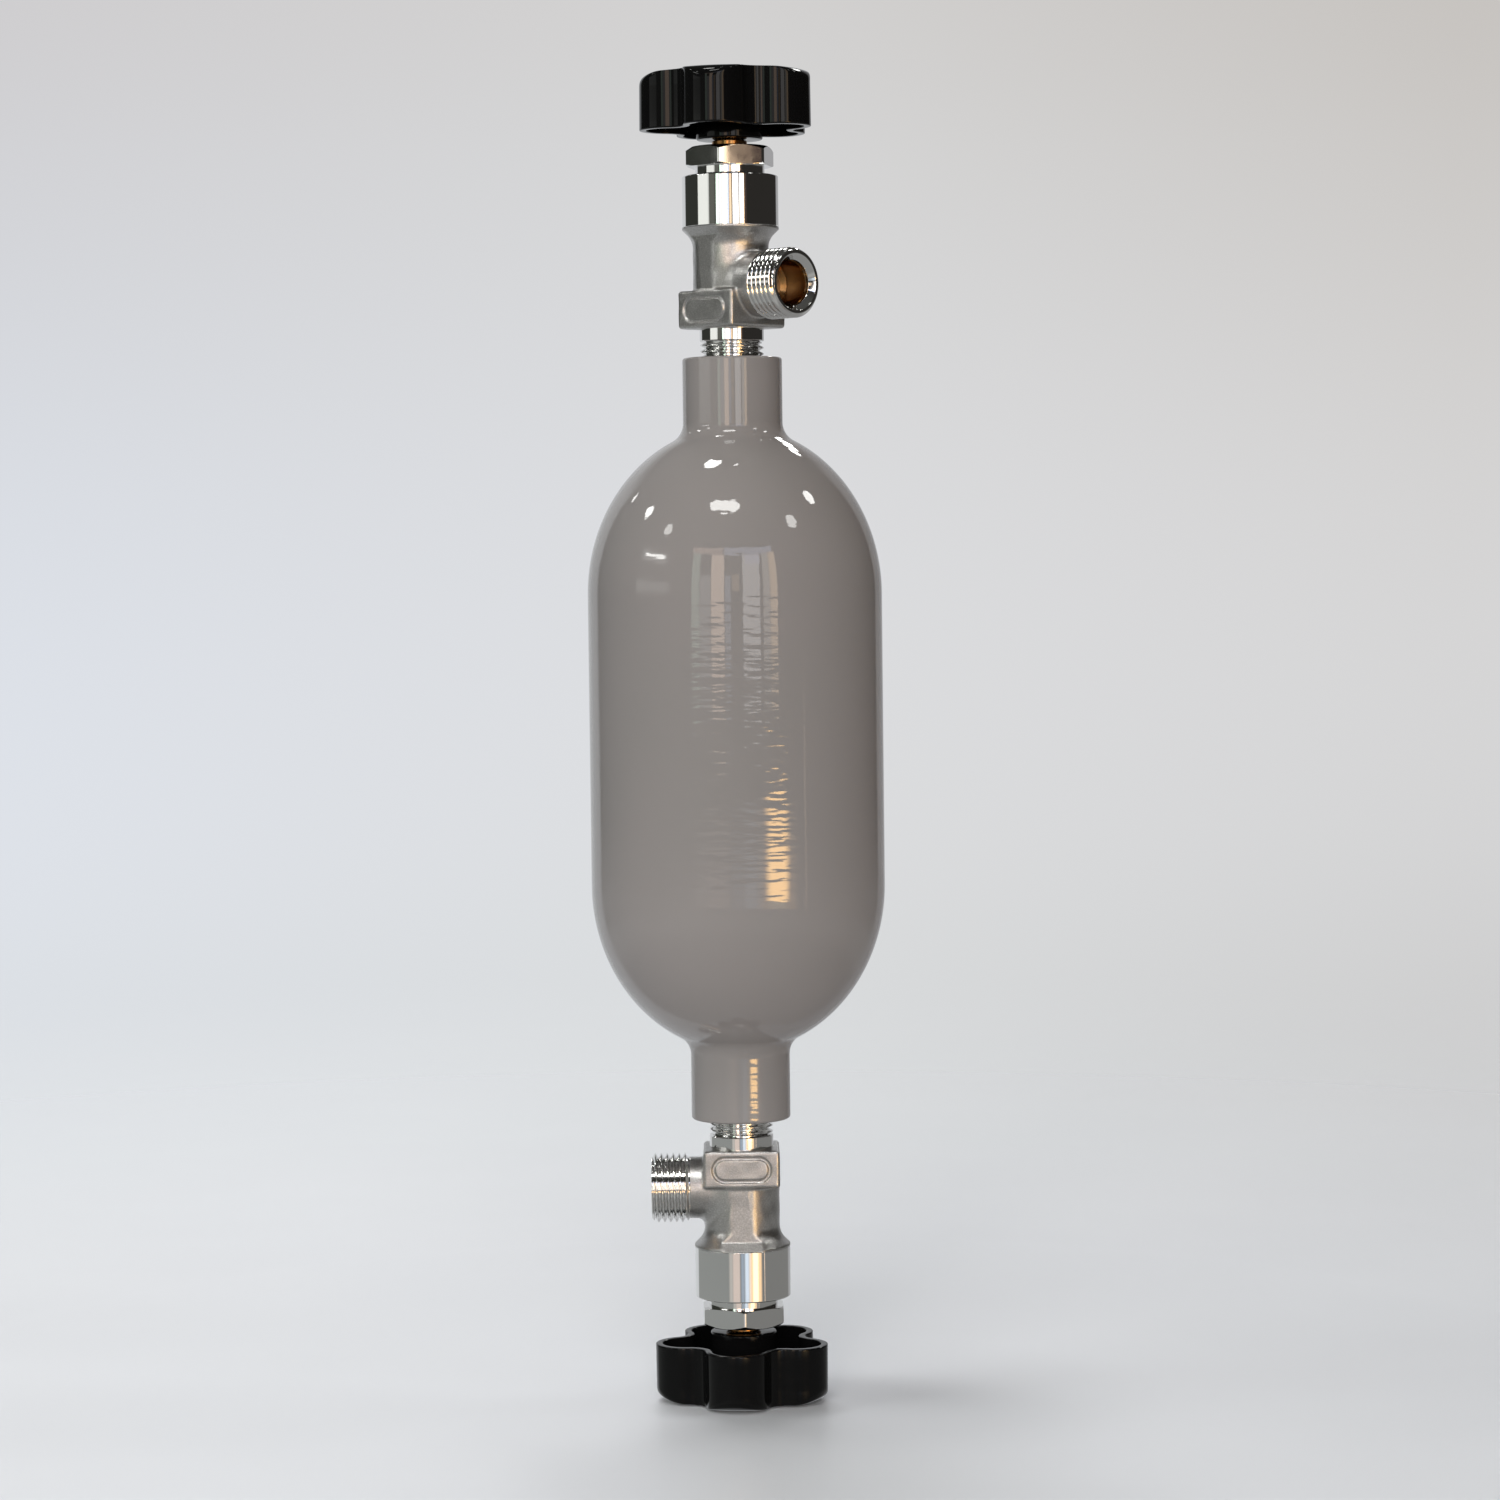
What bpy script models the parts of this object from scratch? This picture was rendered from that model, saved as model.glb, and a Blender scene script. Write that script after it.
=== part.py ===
"""Double-ended gas sample cylinder: a seamless steel vessel with a hand valve screwed into each neck.

Frame: metres, +Z up, origin on the vessel's axis at the outer face of the lower handwheel, on which the
cylinder stands. Both valves are the same design. Each is modelled along its own outward axis and hangs on
an empty at the vessel's centre, so the lower valve is the upper one turned over.

Stations (d) are distances in millimetres from a valve's handwheel face, measured along the axis towards
the vessel's centre.
"""

import math

import bmesh
import bpy
from mathutils import Vector

MM = 0.001

# ---------------------------------------------------------------- driving dimensions, millimetres
HEIGHT = 402.0                 # wheel face to wheel face

# vessel
VESSEL_R = 44.5                # 89 mm tube
WALL = 4.5
STRAIGHT_HALF = 44.0           # half length of the straight wall
SHOULDER_B = 50.8              # axial half axis of the shoulder ellipse
NECK_R = 15.05
NECK_END = 115.3               # from the vessel's centre
NECK_FILLET = 6.2
NECK_EDGE = 0.5

# orientation of each valve, as turns about the vessel's axis, degrees
TOP_TURN = -45.0               # upper outlet points to +X -Y
TOP_LOBE, BOTTOM_LOBE = -59.0, 276.5       # a lobe of each handwheel
TOP_HEX, BOTTOM_HEX = -60.3, 268.25         # a corner of each gland nut

# valve body
COLLAR_D, COLLAR_R, COLLAR_END = 31.3, 14.5, 46.5
MID_R = 11.5
CONE_END, MID_START = 48.6, 50.4
CONE_R = 12.3
BLOCK_D, BLOCK_END, BLOCK_W, BLOCK_EDGE = 65.6, 77.0, 23.1, 1.1
STEM_R, STEM_END = 9.7, 103.7
INLET_CREST_R, INLET_ROOT_R = 9.6, 8.5
INLET_THREAD_D = 81.0
STEM_NECK_R, STEM_TIP_R = 9.45, 8.5        # taper inside the neck
NECK_D = HEIGHT / 2 - NECK_END             # 85.7
FIT_GAP = 0.3

GLAND_BORE_R, GLAND_BORE_END = 10.6, 38.2
SHANK_BORE_R, SHANK_BORE_END = 6.0, 48.2
CHAMBER_R, CHAMBER_END = 7.0, 66.5
NOZZLE_R, NOZZLE_D = 3.5, 63.3
PASSAGE_R = 2.0

# side outlet, measured along its own axis from the valve's axis
OUTLET_D = 64.5
OUTLET_LENGTH = 27.4
OUTLET_BOSS_R = 9.35
OUTLET_CREST_R, OUTLET_ROOT_R = 10.48, 9.32   # G 1/2
PITCH = 1.814
OUTLET_THREAD_X = 15.7
OUTLET_CRESTS = 6
OUTLET_CHAMFER = 1.1
OUTLET_FACE_R = 9.5
SOCKET_R, SOCKET_MOUTH_R, SOCKET_FLOOR_X, SOCKET_CONE_X = 6.7, 8.3, 16.5, 13.4
OUTLET_HOLE_R = 2.5

# gland nut
HEX_AF, HEX_D, HEX_END = 24.0, 22.6, 28.5
HEX_FACE_R = 12.4
SPIGOT_R, SPIGOT_RELIEF_END, SPIGOT_INNER_R, SPIGOT_END = 10.45, 31.0, 10.2, 36.5
NUT_BORE_R, NUT_BORE_END, NUT_COUNTERBORE_R = 5.6, 31.7, 8.4

# spindle
STUD_R, STUD_D = 3.0, 0.5
SQUARE_W, SQUARE_D = 7.0, 8.2
JOURNAL_R, JOURNAL_D = 5.3, 20.7
FLANGE_R, FLANGE_D, FLANGE_END = 8.0, 33.4, 35.8
SHANK_R, SHANK_END = 5.7, 47.5
GROOVE_R, GROOVE_D, GROOVE_END = 3.8, 40.0, 42.2
SLOT_W, SLOT_D = 2.6, 43.7

# handwheel
LOBES = 5
LOBE_CENTRE_R, LOBE_R, NOTCH_R = 17.6, 9.4, 5.0
WHEEL_R = LOBE_CENTRE_R + LOBE_R
WHEEL_FLAT_R, WHEEL_DOME = 12.0, 0.5        # flat ring that it stands on; drop of the dome at the edge's round
WHEEL_H, WHEEL_WALL, WHEEL_PLATE = 17.2, 2.0, 3.0
WHEEL_ROUND = 4.5
RECESS_R, RECESS_D = 7.5, 8.0
HUB_R, HUB_END = 10.0, 20.4
SQUARE_HOLE = 7.6

STEPS = 36                     # facets of the vessel
MEDIUM = 28                    # facets of the valve's large round pieces
SMALL = 24                     # facets of a small one


# ---------------------------------------------------------------- start from an empty scene
for old in list(bpy.data.objects):
    bpy.data.objects.remove(old, do_unlink=True)


def material(name, colour, roughness, metallic):
    m = bpy.data.materials.new(name)
    m.use_nodes = True
    shader = m.node_tree.nodes["Principled BSDF"]
    shader.inputs["Base Color"].default_value = (*colour, 1.0)
    shader.inputs["Roughness"].default_value = roughness
    shader.inputs["Metallic"].default_value = metallic
    m.diffuse_color = (*colour, 1.0)
    return m


def finish(name, bm, parent, ref, mat, turn=0.0, tilt=None, smooth=True):
    """Turns a bmesh into a named object on its parent, with its origin on the axis at station ref."""
    bmesh.ops.remove_doubles(bm, verts=bm.verts[:], dist=1e-6)
    bmesh.ops.recalc_face_normals(bm, faces=bm.faces[:])
    mesh = bpy.data.meshes.new(name)
    bm.to_mesh(mesh)
    bm.free()
    if smooth:
        mesh.shade_smooth()
        mesh.set_sharp_from_angle(angle=math.radians(32))
    obj = bpy.data.objects.new(name, mesh)
    bpy.context.scene.collection.objects.link(obj)
    if mat is not None:
        mesh.materials.append(mat)
    obj.parent = parent
    obj.location = (0, 0, (HEIGHT / 2 - ref) * MM)
    obj.rotation_euler = tilt if tilt else (0, 0, math.radians(turn))
    return obj


def turned(profile, ref, steps=STEPS):
    """Spins a closed profile of (radius, station) points about the axis."""
    bm = bmesh.new()
    verts = [bm.verts.new((r * MM, 0, (ref - d) * MM)) for r, d in profile]
    edges = []
    for i, v in enumerate(verts):
        w = verts[(i + 1) % len(verts)]
        if v.co.x > 1e-9 or w.co.x > 1e-9:
            edges.append(bm.edges.new((v, w)))
    bmesh.ops.spin(bm, geom=verts + edges, cent=(0, 0, 0), axis=(0, 0, 1), dvec=(0, 0, 0),
                   angle=2 * math.pi, steps=steps, use_merge=True)
    bmesh.ops.remove_doubles(bm, verts=bm.verts[:], dist=1e-6)
    return bm


def block(size, d0, d1, ref, edge=0.0, segments=2):
    """A rectangular block centred on the axis, from station d0 to d1, with rounded edges."""
    bm = bmesh.new()
    made = bmesh.ops.create_cube(bm, size=1.0)
    bmesh.ops.scale(bm, vec=(size[0] * MM, size[1] * MM, (d1 - d0) * MM), verts=made["verts"])
    bmesh.ops.translate(bm, vec=(0, 0, (ref - (d0 + d1) / 2) * MM), verts=made["verts"])
    if edge:
        bmesh.ops.bevel(bm, geom=bm.edges[:], offset=edge * MM, offset_type="OFFSET",
                        segments=segments, profile=0.5, affect="EDGES")
    return bm


def combine(obj, other, operation):
    """Adds or cuts another object, which stays as a hidden guide."""
    other.hide_render = True
    other.display_type = "WIRE"
    mod = obj.modifiers.new(other.name, "BOOLEAN")
    mod.operation = operation
    mod.solver = "EXACT"
    mod.object = other


def thread(first, count, pitch, root, crest):
    """Ridges of a thread: (radius, position) points from the root before the first crest to the root after the last."""
    points = [(root, first - pitch / 2)]
    for i in range(count):
        points += [(crest, first + i * pitch), (root, first + (i + 0.5) * pitch)]
    return points


# ---------------------------------------------------------------- vessel
def shoulder(a, b, r_end, steps):
    """Points of a shoulder ellipse from the straight wall up to radius r_end: (radius, height)."""
    last = math.acos(r_end / a)
    return [(a * math.cos(last * i / steps), STRAIGHT_HALF + b * math.sin(last * i / steps)) for i in range(steps + 1)]


def outer_half():
    """The vessel's outer profile above its middle, with the fillet into the neck."""
    centre_r = NECK_R + NECK_FILLET

    def offset_r(t):
        n = Vector((SHOULDER_B * math.cos(t), VESSEL_R * math.sin(t))).normalized()
        return VESSEL_R * math.cos(t) + NECK_FILLET * n.x, STRAIGHT_HALF + SHOULDER_B * math.sin(t) + NECK_FILLET * n.y, n

    low, high = 0.5, 1.5
    for _ in range(50):
        t = (low + high) / 2
        if offset_r(t)[0] > centre_r:
            low = t
        else:
            high = t
    _, centre_z, n = offset_r(t)
    steps = 8
    points = [(VESSEL_R * math.cos(t * i / steps), STRAIGHT_HALF + SHOULDER_B * math.sin(t * i / steps)) for i in range(steps + 1)]
    start = math.atan2(-n.y, -n.x)
    for i in range(1, 4):
        angle = start + (-math.pi - start) * i / 3
        points.append((centre_r + NECK_FILLET * math.cos(angle), centre_z + NECK_FILLET * math.sin(angle)))
    points += [(NECK_R, NECK_END - NECK_EDGE), (NECK_R - NECK_EDGE, NECK_END)]
    return points


def vessel_profile():
    mid = HEIGHT / 2
    outside = outer_half()
    bore_neck = STEM_NECK_R + FIT_GAP
    bore_tip = STEM_TIP_R + FIT_GAP
    inside = shoulder(VESSEL_R - WALL, SHOULDER_B - WALL, bore_tip, 5)
    inside += [(bore_tip, mid - STEM_END), (bore_neck, NECK_END)]
    half = [(r, z) for r, z in outside] + [(r, z) for r, z in reversed(inside)]
    # half runs from the outer wall's top edge of the straight part, over the neck, to the inner wall
    up = [(r, mid - z) for r, z in half]
    down = [(r, mid + z) for r, z in reversed(half)]
    return up + down


# ---------------------------------------------------------------- valve pieces
def body_column():
    """Outside of the valve body's turned parts: collar, neck-down and the tapered inlet stem."""
    p = [(0, COLLAR_D), (COLLAR_R - 0.5, COLLAR_D), (COLLAR_R, COLLAR_D + 0.5), (COLLAR_R, COLLAR_END),
         (CONE_R, CONE_END), (MID_R + 0.25, MID_START - 0.8), (MID_R, MID_START), (MID_R, BLOCK_D + 4), (STEM_R, BLOCK_D + 4),
         (STEM_R, INLET_THREAD_D)]
    p += thread(INLET_THREAD_D + 1.5, 2, PITCH, INLET_ROOT_R, INLET_CREST_R)
    p += [(STEM_NECK_R, NECK_D - 0.15), (STEM_NECK_R, NECK_D), (STEM_TIP_R, STEM_END), (0, STEM_END)]
    return p


def body_bore():
    return [(0, COLLAR_D - 2), (GLAND_BORE_R, COLLAR_D - 2), (GLAND_BORE_R, GLAND_BORE_END), (SHANK_BORE_R, GLAND_BORE_END),
            (SHANK_BORE_R, SHANK_BORE_END), (CHAMBER_R, SHANK_BORE_END), (CHAMBER_R, CHAMBER_END), (NOZZLE_R, CHAMBER_END),
            (NOZZLE_R, NOZZLE_D), (PASSAGE_R, NOZZLE_D), (PASSAGE_R, STEM_END + 3), (0, STEM_END + 3)]


def outlet_outside():
    """Side outlet along its own axis. Positions are written as minus x, so that they run outwards."""
    p = [(0, 2), (OUTLET_BOSS_R, 2), (OUTLET_BOSS_R, OUTLET_THREAD_X)]
    p += thread(OUTLET_THREAD_X + 1.1, OUTLET_CRESTS, PITCH, OUTLET_ROOT_R, OUTLET_CREST_R)[:-1]
    p += [(OUTLET_CREST_R, OUTLET_LENGTH - OUTLET_CHAMFER), (OUTLET_FACE_R, OUTLET_LENGTH), (0, OUTLET_LENGTH)]
    return [(r, -x) for r, x in p]


def outlet_bore():
    p = [(0, 6), (OUTLET_HOLE_R, 6), (OUTLET_HOLE_R, SOCKET_CONE_X), (SOCKET_R, SOCKET_FLOOR_X),
         (SOCKET_R, OUTLET_LENGTH - (SOCKET_MOUTH_R - SOCKET_R)), (SOCKET_MOUTH_R, OUTLET_LENGTH), (SOCKET_MOUTH_R, OUTLET_LENGTH + 2), (0, OUTLET_LENGTH + 2)]
    return [(r, -x) for r, x in p]


def gland_nut():
    """Hexagon with its crown turned off at the outer end, and the spigot that screws into the collar."""
    bm = turned([(NUT_BORE_R, HEX_D), (HEX_FACE_R - 0.9, HEX_D), (HEX_AF / math.sqrt(3) + 0.4, HEX_D + 1.4), (HEX_AF / math.sqrt(3) + 0.4, HEX_END),
                 (SPIGOT_R, HEX_END), (SPIGOT_R, SPIGOT_RELIEF_END), (SPIGOT_INNER_R, SPIGOT_RELIEF_END), (SPIGOT_INNER_R, SPIGOT_END),
                 (NUT_COUNTERBORE_R, SPIGOT_END), (NUT_COUNTERBORE_R, NUT_BORE_END), (NUT_BORE_R, NUT_BORE_END)], HEX_D, MEDIUM)
    return bm


def hexagon(across_flats, d0, d1, ref):
    """A hexagonal prism with a corner on +X."""
    bm = bmesh.new()
    made = bmesh.ops.create_cone(bm, cap_ends=True, cap_tris=False, segments=6, radius1=across_flats / math.sqrt(3) * MM,
                                 radius2=across_flats / math.sqrt(3) * MM, depth=(d1 - d0) * MM)
    bmesh.ops.translate(bm, vec=(0, 0, (ref - (d0 + d1) / 2) * MM), verts=made["verts"])
    return bm


def wheel_outline(inset):
    """The wheel's outline as round lobes joined by round notches, moved inwards by inset."""
    half = math.pi / LOBES
    reach = LOBE_R + NOTCH_R
    notch_centre = LOBE_CENTRE_R * math.cos(half) + math.sqrt(reach ** 2 - (LOBE_CENTRE_R * math.sin(half)) ** 2)
    to_notch = Vector((notch_centre * math.cos(half) - LOBE_CENTRE_R, notch_centre * math.sin(half)))
    sweep = math.atan2(to_notch.y, to_notch.x)
    open_half = sweep - half                   # half the angle that a notch's arc spans
    lobe_r, notch_r = LOBE_R - inset, NOTCH_R + inset
    points = []
    for k in range(LOBES):
        spin = 2 * half * k
        for i in range(-3, 4):
            a = sweep * i / 3
            x, y = LOBE_CENTRE_R + lobe_r * math.cos(a), lobe_r * math.sin(a)
            points.append((x * math.cos(spin) - y * math.sin(spin), x * math.sin(spin) + y * math.cos(spin)))
        nx, ny = notch_centre * math.cos(spin + half), notch_centre * math.sin(spin + half)
        for i in (-1, 0, 1):
            a = spin + half + math.pi - open_half * i / 2
            points.append((nx + notch_r * math.cos(a), ny + notch_r * math.sin(a)))
    return points


def handwheel():
    """Hollow lobed wheel: a slightly domed face that is flat round its recess, a skirt cut by the lobed outline, and
    a hub with a square hole for the spindle."""
    bm = bmesh.new()
    outline = wheel_outline(0)
    angles = [math.atan2(y, x) for x, y in outline]
    reach = [math.hypot(x, y) for x, y in outline]

    def ring(points, d):
        return [bm.verts.new((x * MM, y * MM, -d * MM)) for x, y in points]

    def circle(r, d):
        """A circle that is cut back wherever the lobed outline is nearer to the axis."""
        return ring([(min(r, o) * math.cos(a), min(r, o) * math.sin(a)) for a, o in zip(angles, reach)], d)

    rings = [circle(RECESS_R, RECESS_D), circle(RECESS_R, 0), circle(WHEEL_FLAT_R, 0)]
    for i in range(4):
        a = math.pi / 2 * (1 - i / 3)
        rings.append(circle(WHEEL_R - WHEEL_ROUND * (1 - math.cos(a)), WHEEL_DOME + WHEEL_ROUND * (1 - math.sin(a))))
    rings += [ring(wheel_outline(0), WHEEL_H - 0.5), ring(wheel_outline(0.5), WHEEL_H), ring(wheel_outline(WHEEL_WALL - 0.5), WHEEL_H),
              ring(wheel_outline(WHEEL_WALL), WHEEL_H - 0.5), ring(wheel_outline(WHEEL_WALL + 1.0), WHEEL_ROUND + WHEEL_DOME + 1.0),
              ring(wheel_outline(WHEEL_WALL + 3.0), WHEEL_PLATE + WHEEL_DOME),
              circle(HUB_R, WHEEL_PLATE + WHEEL_DOME), circle(HUB_R, HUB_END - 0.4), circle(HUB_R - 0.4, HUB_END)]
    n = len(outline)
    for a, b in zip(rings, rings[1:]):
        for i in range(n):
            bm.faces.new((a[i], a[(i + 1) % n], b[(i + 1) % n], b[i]))
    for end in (rings[0], rings[-1]):
        bm.faces.new(end)
    return bm


def coil(mean_r, wire_r, d0, d1, turns, ref, steps=16, sides=6):
    """A short helical spring of round wire, capped at both ends."""
    bm = bmesh.new()
    count = int(turns * steps)
    rings = []
    for i in range(count + 1):
        a = 2 * math.pi * turns * i / count
        d = d0 + wire_r + (d1 - d0 - 2 * wire_r) * i / count
        out = Vector((math.cos(a), math.sin(a), 0))
        centre = out * mean_r + Vector((0, 0, ref - d))
        rings.append([bm.verts.new((centre + out * wire_r * math.cos(b) + Vector((0, 0, wire_r * math.sin(b)))) * MM)
                      for b in (2 * math.pi * j / sides for j in range(sides))])
    for a, b in zip(rings, rings[1:]):
        for j in range(sides):
            bm.faces.new((a[j], a[(j + 1) % sides], b[(j + 1) % sides], b[j]))
    bm.faces.new(rings[0])
    bm.faces.new(rings[-1])
    return bm


def torus(major, minor, d, ref, steps=SMALL, sides=10):
    return turned([(major + minor * math.cos(2 * math.pi * j / sides), d + minor * math.sin(2 * math.pi * j / sides)) for j in range(sides)], ref, steps)


def washer(r_in, r_out, d0, d1, steps=SMALL):
    return turned([(r_in, d0), (r_out, d0), (r_out, d1), (r_in, d1)], d0, steps)


# ---------------------------------------------------------------- build
PAINT = (0.215, 0.200, 0.187)
CHROME = (0.78, 0.78, 0.77)
BRASS = (0.72, 0.47, 0.20)
BLACK = (0.012, 0.012, 0.013)


def empty(name, rotation):
    e = bpy.data.objects.new(name, None)
    bpy.context.scene.collection.objects.link(e)
    e.location = (0, 0, HEIGHT / 2 * MM)
    e.rotation_euler = rotation
    return e


def make_valve(side, parent, lobe, hex_turn):
    def mat(piece, colour, roughness, metallic):
        return material(f"{side}_{piece}_material", colour, roughness, metallic)

    def name(piece):
        return f"{side}_{piece}"

    # forged and turned body
    ref = OUTLET_D
    body = finish(name("valve_body"), turned(body_column(), ref, MEDIUM), parent, ref, mat("valve_body", CHROME, 0.16, 1.0))
    square = finish(name("guide_block"), block((BLOCK_W, BLOCK_W), BLOCK_D, BLOCK_END, ref, BLOCK_EDGE), parent, ref, None)
    along_x = (0, math.pi / 2, 0)
    outlet = finish(name("guide_outlet"), turned(outlet_outside(), 0, SMALL), parent, ref, None, tilt=along_x)
    bore = finish(name("guide_bore"), turned(body_bore(), ref, SMALL), parent, ref, None)
    socket = finish(name("guide_socket"), turned(outlet_bore(), 0, SMALL), parent, ref, None, tilt=along_x)
    combine(body, square, "UNION")
    combine(body, outlet, "UNION")
    combine(body, bore, "DIFFERENCE")
    combine(body, socket, "DIFFERENCE")

    # gland nut: the turned blank is trimmed to its hexagon
    nut = finish(name("gland_nut"), gland_nut(), parent, HEX_D, mat("gland_nut", CHROME, 0.10, 1.0), turn=hex_turn)
    trim = finish(name("guide_hexagon"), hexagon(HEX_AF, HEX_D - 1, SPIGOT_END + 1, HEX_D), parent, HEX_D, None, turn=hex_turn, smooth=False)
    combine(nut, trim, "INTERSECT")
    finish(name("body_gasket"), washer(8.5, 10.2, 36.8, 37.9), parent, 36.8, mat("body_gasket", (0.75, 0.73, 0.68), 0.5, 0.0))
    finish(name("thrust_washer"), washer(5.7, 8.0, 32.0, 33.1), parent, 32.0, mat("thrust_washer", (0.80, 0.79, 0.74), 0.45, 0.0))

    # spindle
    ref = JOURNAL_D
    spindle = finish(name("spindle"), turned(
        [(0, STUD_D), (STUD_R - 0.5, STUD_D), (STUD_R, STUD_D + 0.5), (STUD_R, JOURNAL_D), (JOURNAL_R, JOURNAL_D), (JOURNAL_R, FLANGE_D),
         (FLANGE_R, FLANGE_D), (FLANGE_R, FLANGE_END), (SHANK_R, FLANGE_END), (SHANK_R, GROOVE_D), (GROOVE_R, GROOVE_D),
         (GROOVE_R, GROOVE_END), (SHANK_R, GROOVE_END), (SHANK_R, SHANK_END), (0, SHANK_END)], ref, SMALL),
        parent, ref, mat("spindle", BRASS, 0.22, 1.0), turn=lobe)
    square = finish(name("guide_square"), block((SQUARE_W, SQUARE_W), SQUARE_D, JOURNAL_D + 0.4, ref), parent, ref, None, turn=lobe, smooth=False)
    slot = finish(name("guide_spindle_slot"), block((2.6 * SHANK_R, SLOT_W), SLOT_D, SHANK_END + 1, ref), parent, ref, None, turn=lobe, smooth=False)
    combine(spindle, square, "UNION")
    combine(spindle, slot, "DIFFERENCE")
    finish(name("spindle_o_ring"), torus(4.9, 0.8, 41.1, 41.1, 24, 6), parent, 41.1, mat("spindle_o_ring", (0.02, 0.02, 0.02), 0.6, 0.0))
    finish(name("drive_blade"), block((9.0, 2.0), 44.0, 53.5, 44.0, 0.3, 1), parent, 44.0, mat("drive_blade", (0.6, 0.6, 0.6), 0.3, 1.0), turn=lobe, smooth=False)

    # valve plug and its seat disc
    plug = finish(name("valve_plug"), turned([(0, 51.6), (6.2, 51.6), (6.7, 52.1), (6.7, 62.6), (4.3, 62.6), (4.3, 60.1), (0, 60.1)], 51.6, SMALL),
                  parent, 51.6, mat("valve_plug", BRASS, 0.25, 1.0), turn=lobe)
    slot = finish(name("guide_plug_slot"), block((16.0, SLOT_W), 50.0, 57.0, 51.6), parent, 51.6, None, turn=lobe, smooth=False)
    combine(plug, slot, "DIFFERENCE")
    finish(name("seat_disc"), turned([(0, 60.4), (4.0, 60.4), (4.0, 63.0), (0, 63.0)], 60.4, SMALL), parent, 60.4,
           mat("seat_disc", (0.85, 0.84, 0.80), 0.5, 0.0))

    # handwheel, with the spring, washer and nut that hold it
    wheel = finish(name("handwheel"), handwheel(), parent, 0, mat("handwheel", BLACK, 0.12, 0.0), turn=lobe)
    hole = finish(name("guide_square_hole"), block((SQUARE_HOLE, SQUARE_HOLE), RECESS_D - 2, HUB_END + 2, 0), parent, 0, None, turn=lobe, smooth=False)
    combine(wheel, hole, "DIFFERENCE")
    finish(name("wheel_spring"), coil(5.0, 0.5, 4.9, 7.7, 1.5, 4.9), parent, 4.9, mat("wheel_spring", (0.6, 0.6, 0.6), 0.3, 1.0))
    finish(name("wheel_washer"), washer(3.3, 6.0, 3.9, 4.6), parent, 3.9, mat("wheel_washer", (0.65, 0.65, 0.65), 0.25, 1.0))
    wheel_nut = finish(name("wheel_nut"), hexagon(10.0, 0.8, 3.6, 0.8), parent, 0.8, mat("wheel_nut", (0.65, 0.65, 0.65), 0.25, 1.0), turn=lobe, smooth=False)
    hole = finish(name("guide_nut_hole"), turned([(0, -1), (3.3, -1), (3.3, 6), (0, 6)], 0.8, 16), parent, 0.8, None)
    combine(wheel_nut, hole, "DIFFERENCE")


shell = finish("cylinder_shell", turned(vessel_profile(), HEIGHT / 2, STEPS), None, HEIGHT / 2, material("cylinder_shell_material", PAINT, 0.12, 0.0))
shell.location = (0, 0, HEIGHT / 2 * MM)
make_valve("top", empty("top_valve", (0, 0, math.radians(TOP_TURN))), TOP_LOBE, TOP_HEX)
make_valve("bottom", empty("bottom_valve", (0, math.pi, 0)), BOTTOM_LOBE, BOTTOM_HEX)
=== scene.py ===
"""Looks of the double-ended gas sample cylinder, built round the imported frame.

Each visible piece is a fine mesh made here: turned parts are revolved profiles with rounded edges, threads are
real helices, hexagons and the lobed wheels are polar lofts, and the forged valve body is the skin of a blended
distance field. Hidden inner pieces keep their CAD meshes with better materials.

Stations (d) are distances in millimetres from a valve's handwheel face towards the vessel's centre.
"""
import math

import bmesh
import bpy
import numpy as np
from mathutils import Matrix, Vector


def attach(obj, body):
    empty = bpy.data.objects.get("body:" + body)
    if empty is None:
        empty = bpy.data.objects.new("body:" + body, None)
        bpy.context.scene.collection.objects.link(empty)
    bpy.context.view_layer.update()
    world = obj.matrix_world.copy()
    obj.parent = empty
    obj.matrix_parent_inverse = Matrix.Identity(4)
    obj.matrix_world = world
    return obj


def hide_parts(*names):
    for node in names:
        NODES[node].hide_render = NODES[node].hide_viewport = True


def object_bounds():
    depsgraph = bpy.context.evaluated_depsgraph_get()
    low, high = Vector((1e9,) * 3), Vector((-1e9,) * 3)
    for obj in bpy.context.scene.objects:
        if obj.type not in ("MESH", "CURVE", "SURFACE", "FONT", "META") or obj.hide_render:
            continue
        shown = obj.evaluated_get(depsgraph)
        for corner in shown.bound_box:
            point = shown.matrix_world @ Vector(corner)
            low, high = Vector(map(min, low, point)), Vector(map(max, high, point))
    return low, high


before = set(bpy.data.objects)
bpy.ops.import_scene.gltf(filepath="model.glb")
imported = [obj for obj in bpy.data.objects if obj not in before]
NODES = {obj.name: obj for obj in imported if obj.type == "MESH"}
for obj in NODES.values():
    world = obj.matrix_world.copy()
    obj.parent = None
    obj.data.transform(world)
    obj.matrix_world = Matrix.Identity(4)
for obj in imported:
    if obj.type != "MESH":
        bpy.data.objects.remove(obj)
CAD_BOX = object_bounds()

MM = 0.001
lo, hi = CAD_BOX
HEIGHT = (hi.z - lo.z) / MM
MID = HEIGHT / 2


# ================================================================ mesh helpers
def obj_from(name, verts, faces, mat, sharp=38.0, recalc=True):
    me = bpy.data.meshes.new(name)
    me.from_pydata([tuple(v) for v in verts], [], [tuple(int(i) for i in f) for f in faces])
    bm = bmesh.new()
    bm.from_mesh(me)
    bmesh.ops.remove_doubles(bm, verts=bm.verts[:], dist=1e-7)
    bmesh.ops.dissolve_degenerate(bm, edges=bm.edges[:], dist=1e-8)
    if recalc:
        bmesh.ops.recalc_face_normals(bm, faces=bm.faces[:])
    bm.to_mesh(me)
    bm.free()
    me.shade_smooth()
    me.set_sharp_from_angle(angle=math.radians(sharp))
    o = bpy.data.objects.new(name, me)
    bpy.context.scene.collection.objects.link(o)
    me.materials.append(mat)
    # long flats keep their own normals beside small rounds
    w = o.modifiers.new("face_weighted", "WEIGHTED_NORMAL")
    w.keep_sharp = True
    w.weight = 80
    return o


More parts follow.
